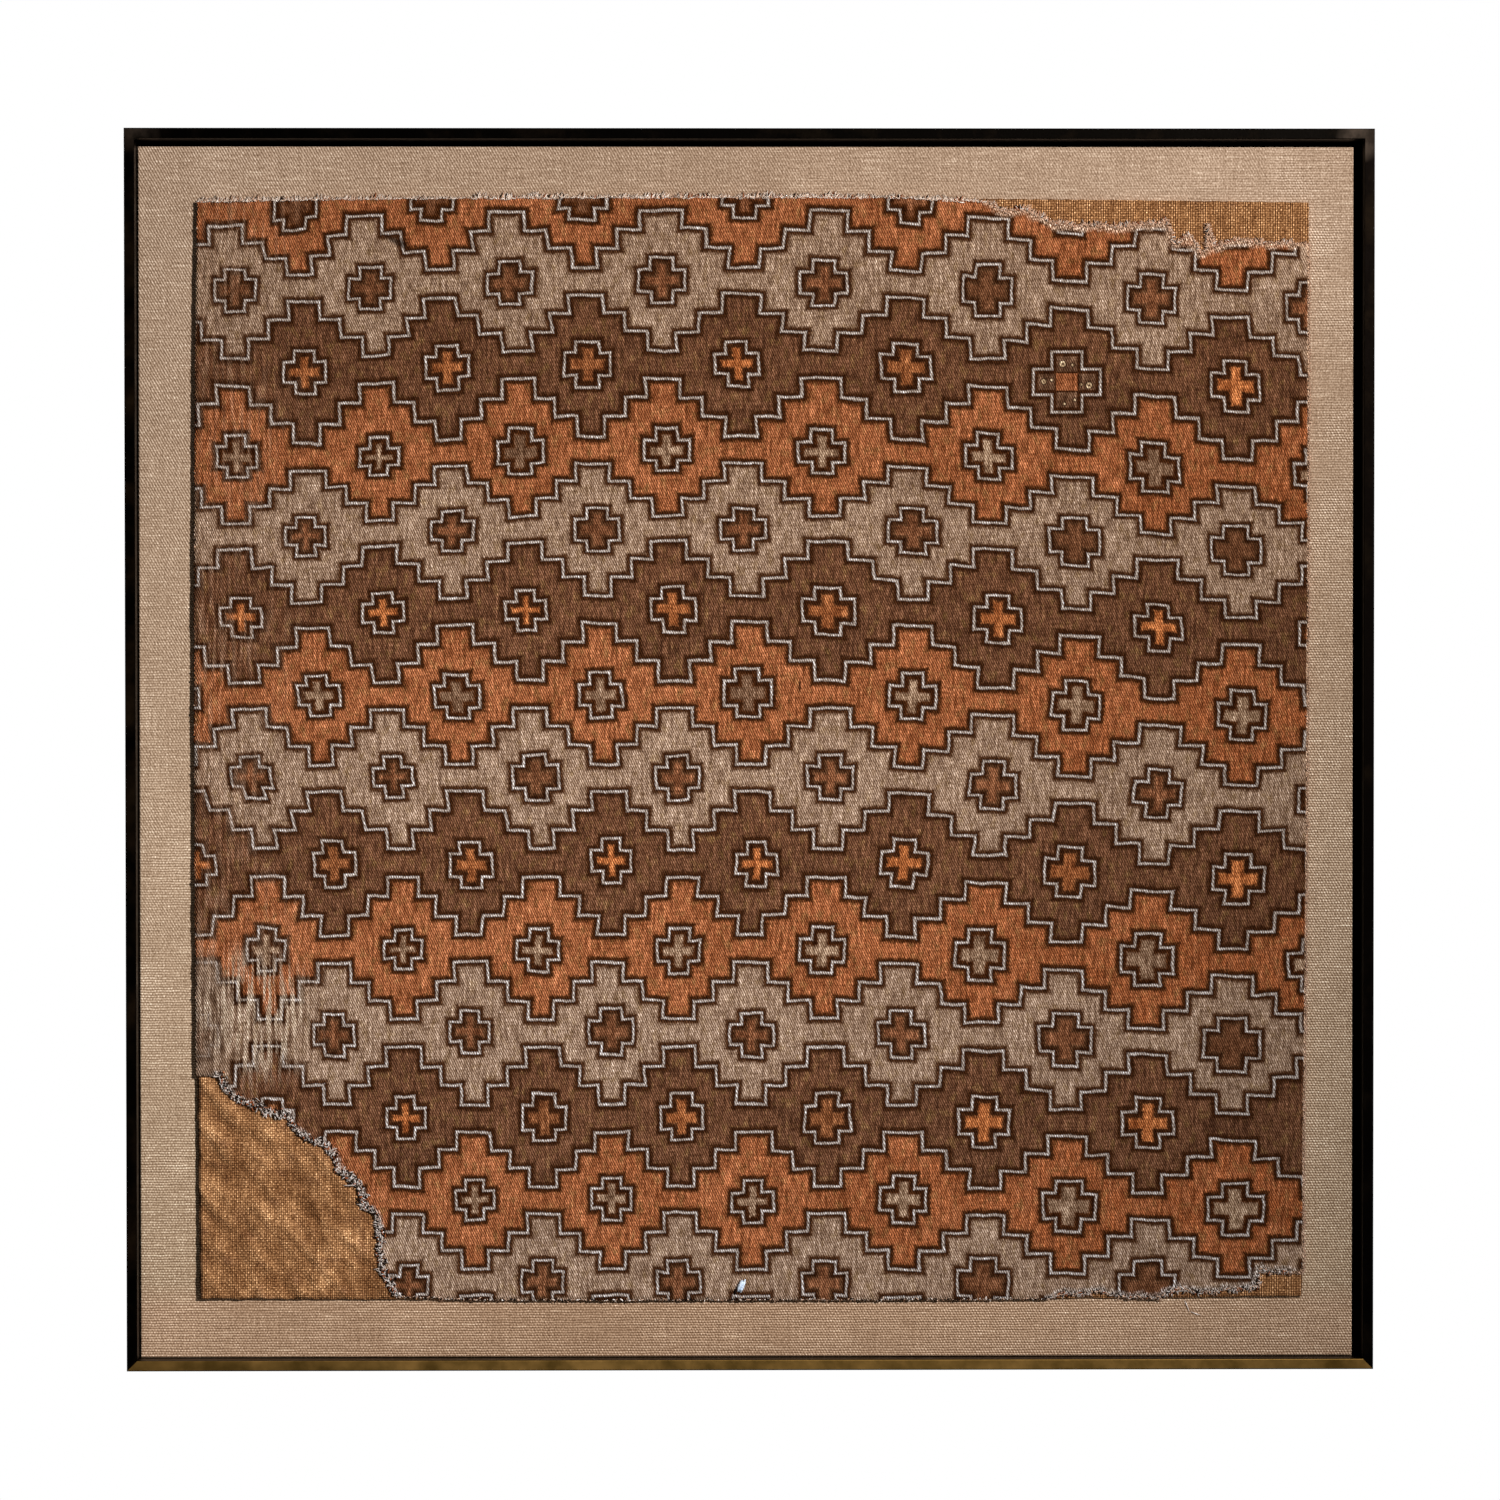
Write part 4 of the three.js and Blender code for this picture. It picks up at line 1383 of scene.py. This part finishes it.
relief, twist = plain_weave(tree, place, PAINTED_ACROSS, PAINTED_UP, 1.0, 0.2, 0.2, wander=0.4)
blotched = add(tree, "Math MULTIPLY_ADD", spots, 2.4, -1.2)
blotched = add(tree, "Math MULTIPLY", blotched, in_cross)
# The relief and the twist lighten and darken the colour: painted shade and highlight
shares = [
    (relief, 0.25, 0.0),
    (twist, -0.5, 0.0),
    (warp, 2.15, 0.5),
    (weft, 1.5, 0.5),
    (fuzz, 2.9, 0.5),
    (cracks, 1.0, 0.0),
    (blotched, 1.0, 0.0),
]
colour = shade_by(tree, paint, shares, balance=(0.065, 0.03, -0.025))
height = add(tree, "Math MULTIPLY_ADD", fuzz, 2.0, relief)
surface(tree, shader, colour, height, PAINTED_RELIEF)
painted.data.materials.append(painted_finish)
print("painted nodes:", len(tree.nodes))

# %% [markdown]
# ## Loose yarns
#
# Where the cloth is torn, its threads end in a band of tufts: grey-white and black at the lower
# left, pinkish cream at the upper right. A bleached fringe stands along the top edge, and short
# ends along the other cut edges. They could be hair, which the library can't carry, so each one
# is a thin tube with three sides, and all the tubes are one mesh. A map gives every tube a
# ticket, and the material turns it into a colour.

# %% Yarn ends
YARN = 0.42
YARN_SIDES = 3
YARN_STEPS = 4
RISE = 0.5
CLUMP = 4.0
CURL = 0.6
PALE, DARK, ORANGE_END, CREAM, BLUISH, BLEACHED = ((k + 0.5) / 6 for k in range(6))
rng = np.random.default_rng(42)


def edge_yarns(run, spacing, inner, outer, spread, length, mix):
    """Rows of yarn ends along an edge: x, z, angle, length, ticket, thickness, curl."""
    along = run_length(run)
    where = np.arange(0, along[-1], spacing)
    n = len(where)
    x, z = (np.interp(where, along, run[:, i]) for i in (0, 1))
    ahead_x, ahead_z = (np.interp(where + 1.5, along, run[:, i]) for i in (0, 1))
    out = np.arctan2(ahead_z - z, ahead_x - x) + math.pi / 2
    clump = slow_noise(rng, where, along[-1] + 8, CLUMP, 0.4, 1.3)
    start = -rng.uniform(-outer, inner, n) * clump
    kinds, shares = zip(*mix)
    ticket = rng.choice(kinds, n, p=shares) + rng.uniform(-0.07, 0.07, n)
    return np.stack([
        x + np.cos(out) * start,
        z + np.sin(out) * start,
        out + rng.normal(0, spread, n),
        rng.uniform(*length, n) * clump,
        ticket,
        YARN * rng.uniform(0.7, 1.2, n),
        np.full(n, CURL),
    ], axis=-1)


def yarn_tubes(name, rows):
    """All yarn ends as one mesh of thin tubes that bend a little and sink to what is below."""
    x, z, angle, length, ticket, thick, curl = rows.T[:, :, None]
    t = np.linspace(0, 1, YARN_STEPS + 1)
    turn = angle + curl * rng.uniform(-1, 1, x.shape) * t
    step = length / YARN_STEPS * (t > 0)
    px = x + np.cumsum(np.cos(turn) * step, axis=1)
    pz = z + np.cumsum(np.sin(turn) * step, axis=1)
    spots = np.stack([px.ravel(), pz.ravel()], axis=-1)
    over_support = inside(spots, support_outline).reshape(px.shape)
    over_painted = inside(spots, painted_outline).reshape(px.shape)
    below = np.where(over_support, support_front(px, pz), LINEN_FACE)
    below = np.where(over_painted, painted_front(px, pz), below)
    starts_on_paint = inside(np.concatenate([x, z], axis=1), painted_outline)[:, None]
    start = np.where(starts_on_paint, painted_front(x, z), below[:, :1] + thick)
    sinking = start + (below[:, -1:] + thick - start) * t + RISE * 4 * t * (1 - t)
    depth = np.maximum(below + 0.8 * thick, sinking)
    radius = thick * np.interp(t, [0, 0.3, 0.7, 1], [0.55, 1, 1, 0.3])
    rings = []
    for side in range(YARN_SIDES):
        around = 2 * math.pi * side / YARN_SIDES
        out = radius * math.cos(around)
        forward = depth + radius * math.sin(around)
        rings.append(in_frame(px - np.sin(turn) * out, forward, pz + np.cos(turn) * out))
    points = np.stack(rings, axis=2).reshape(-1, 3)
    one = []
    for k in range(YARN_STEPS):
        for side in range(YARN_SIDES):
            a = k * YARN_SIDES + side
            b = k * YARN_SIDES + (side + 1) % YARN_SIDES
            one.append((a, b, b + YARN_SIDES, a + YARN_SIDES))
    last = YARN_STEPS * YARN_SIDES
    one += [(2, 1, 0), (last, last + 1, last + 2)]
    firsts = range(0, (last + YARN_SIDES) * len(rows), last + YARN_SIDES)
    faces = [tuple(first + v for v in face) for first in firsts for face in one]
    corners = sum(len(face) for face in one)
    each = np.stack([ticket[:, 0], rng.uniform(0, 1, len(rows))], axis=-1)
    print(name, len(rows), "ends,", len(faces), "faces")
    return make_piece(name, points, faces, {"ticket": np.repeat(each, corners, axis=0)})


# %% Where the ends stand
grey_mix = [(PALE, 0.48), (DARK, 0.40), (ORANGE_END, 0.12)]
pink_mix = [(CREAM, 0.76), (PALE, 0.14), (DARK, 0.03), (ORANGE_END, 0.07)]
top_mix = [(BLEACHED, 0.70), (CREAM, 0.22), (DARK, 0.03), (ORANGE_END, 0.05)]
notch_mix = [(CREAM, 0.36), (PALE, 0.36), (DARK, 0.20), (ORANGE_END, 0.08)]
foot_mix = [(CREAM, 0.36), (BLEACHED, 0.26), (DARK, 0.38)]
left_mix = [(CREAM, 0.2), (DARK, 0.8)]
right_mix = [(CREAM, 1.0)]

# Each edge: spacing, how far in and out the ends start, spread, lengths, colours
EDGES = {
    "tear_lower_left": (0.24, 5.5, 0.0, 0.9, (1.6, 3.6), grey_mix),
    "tear_upper_right": (0.36, 1.6, 0.0, 0.45, (1.8, 3.8), pink_mix),
    "tear_lower_right": (0.36, 2.2, 0.0, 0.7, (1.6, 3.6), notch_mix),
    "top": (0.3, 1.2, 0.0, 0.5, (2.6, 4.4), top_mix),
    "bottom": (0.8, 1.1, 0.0, 0.9, (1.2, 2.8), foot_mix),
    "left": (4.0, 0.8, 0.0, 1.4, (0.8, 1.8), left_mix),
    "right": (0.45, 0.5, 0.1, 1.6, (1.0, 2.2), right_mix),
}

# Single ends: a long thread on the ochre, one fallen on the linen, and a bit of lint
SINGLES = [
    (-238.0, -261.6, math.pi + 0.1, 7.5, PALE, 0.55, 0.3),
    (262.5, -333.0, -1.08, 7.4, BLEACHED, 0.3, 0.2),
    (266.0, -339.5, -0.46, 6.7, BLEACHED, 0.3, 0.2),
    (-8.0, -326.0, 1.15, 7.6, BLUISH, 1.5, 0.1),
    (-6.2, -326.6, 1.15, 8.4, BLUISH, 1.5, 0.1),
    (-9.3, -327.8, 1.3, 4.2, DARK, 1.1, 0.1),
]
rows = [edge_yarns(painted_runs[edge], *values) for edge, values in EDGES.items()]
yarns = yarn_tubes("loose_yarns", np.concatenate([*rows, SINGLES]))
print("edges with ends:", len(EDGES))

# %% [markdown]
# ## Yarn
#
# The ends are the same hard-twisted cotton, so they are matt and slightly mottled along their
# length, with twists about 1 mm apart. A colour ramp with hard steps reads the ticket.

# %% Yarn finish
TWIST = 1.0
YARN_COLOURS = ["#d2c5bb", "#251812", "#a05c38", "#d0ac92", "#d3dde8", "#f4e4d6"]

yarn_finish, tree, shader = new_material(
    "cotton yarn ends", Roughness=0.9, Specular_IOR_Level=0.05
)
_, ticket, tone = on_map(tree, "ticket")
end_colour = in_steps(tree, ticket, YARN_COLOURS)
place = add(tree, "TexCoord").outputs["Object"]
mottled = add(tree, "TexNoise", place, Scale=1 / (TWIST * MM), Detail=1.0)
surface(tree, shader, shade_by(tree, end_colour, [(mottled, 2.0, 0.5), (tone, 0.6, 0.5)]))
yarns.data.materials.append(yarn_finish)
print("yarn colours:", len(YARN_COLOURS))

# %% [markdown]
# ## What rides, and what it takes the place of
#
# Every piece rides on the one body, and each hides the CAD solid whose place it takes.

# %% Attach the pieces
covers = [(bar, node_name, "frame_brass") for node_name, bar in bars.items()]
covers += [
    (linen, "linen_cover", "linen"),
    (support, "support_cloth", "ochre_cloth"),
    (painted, "painted_cloth", "painted_cloth"),
    (yarns, "painted_cloth", "painted_cloth"),
]
for piece, node_name, slot_name in covers:
    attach(piece, "root")
    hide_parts(node_name)
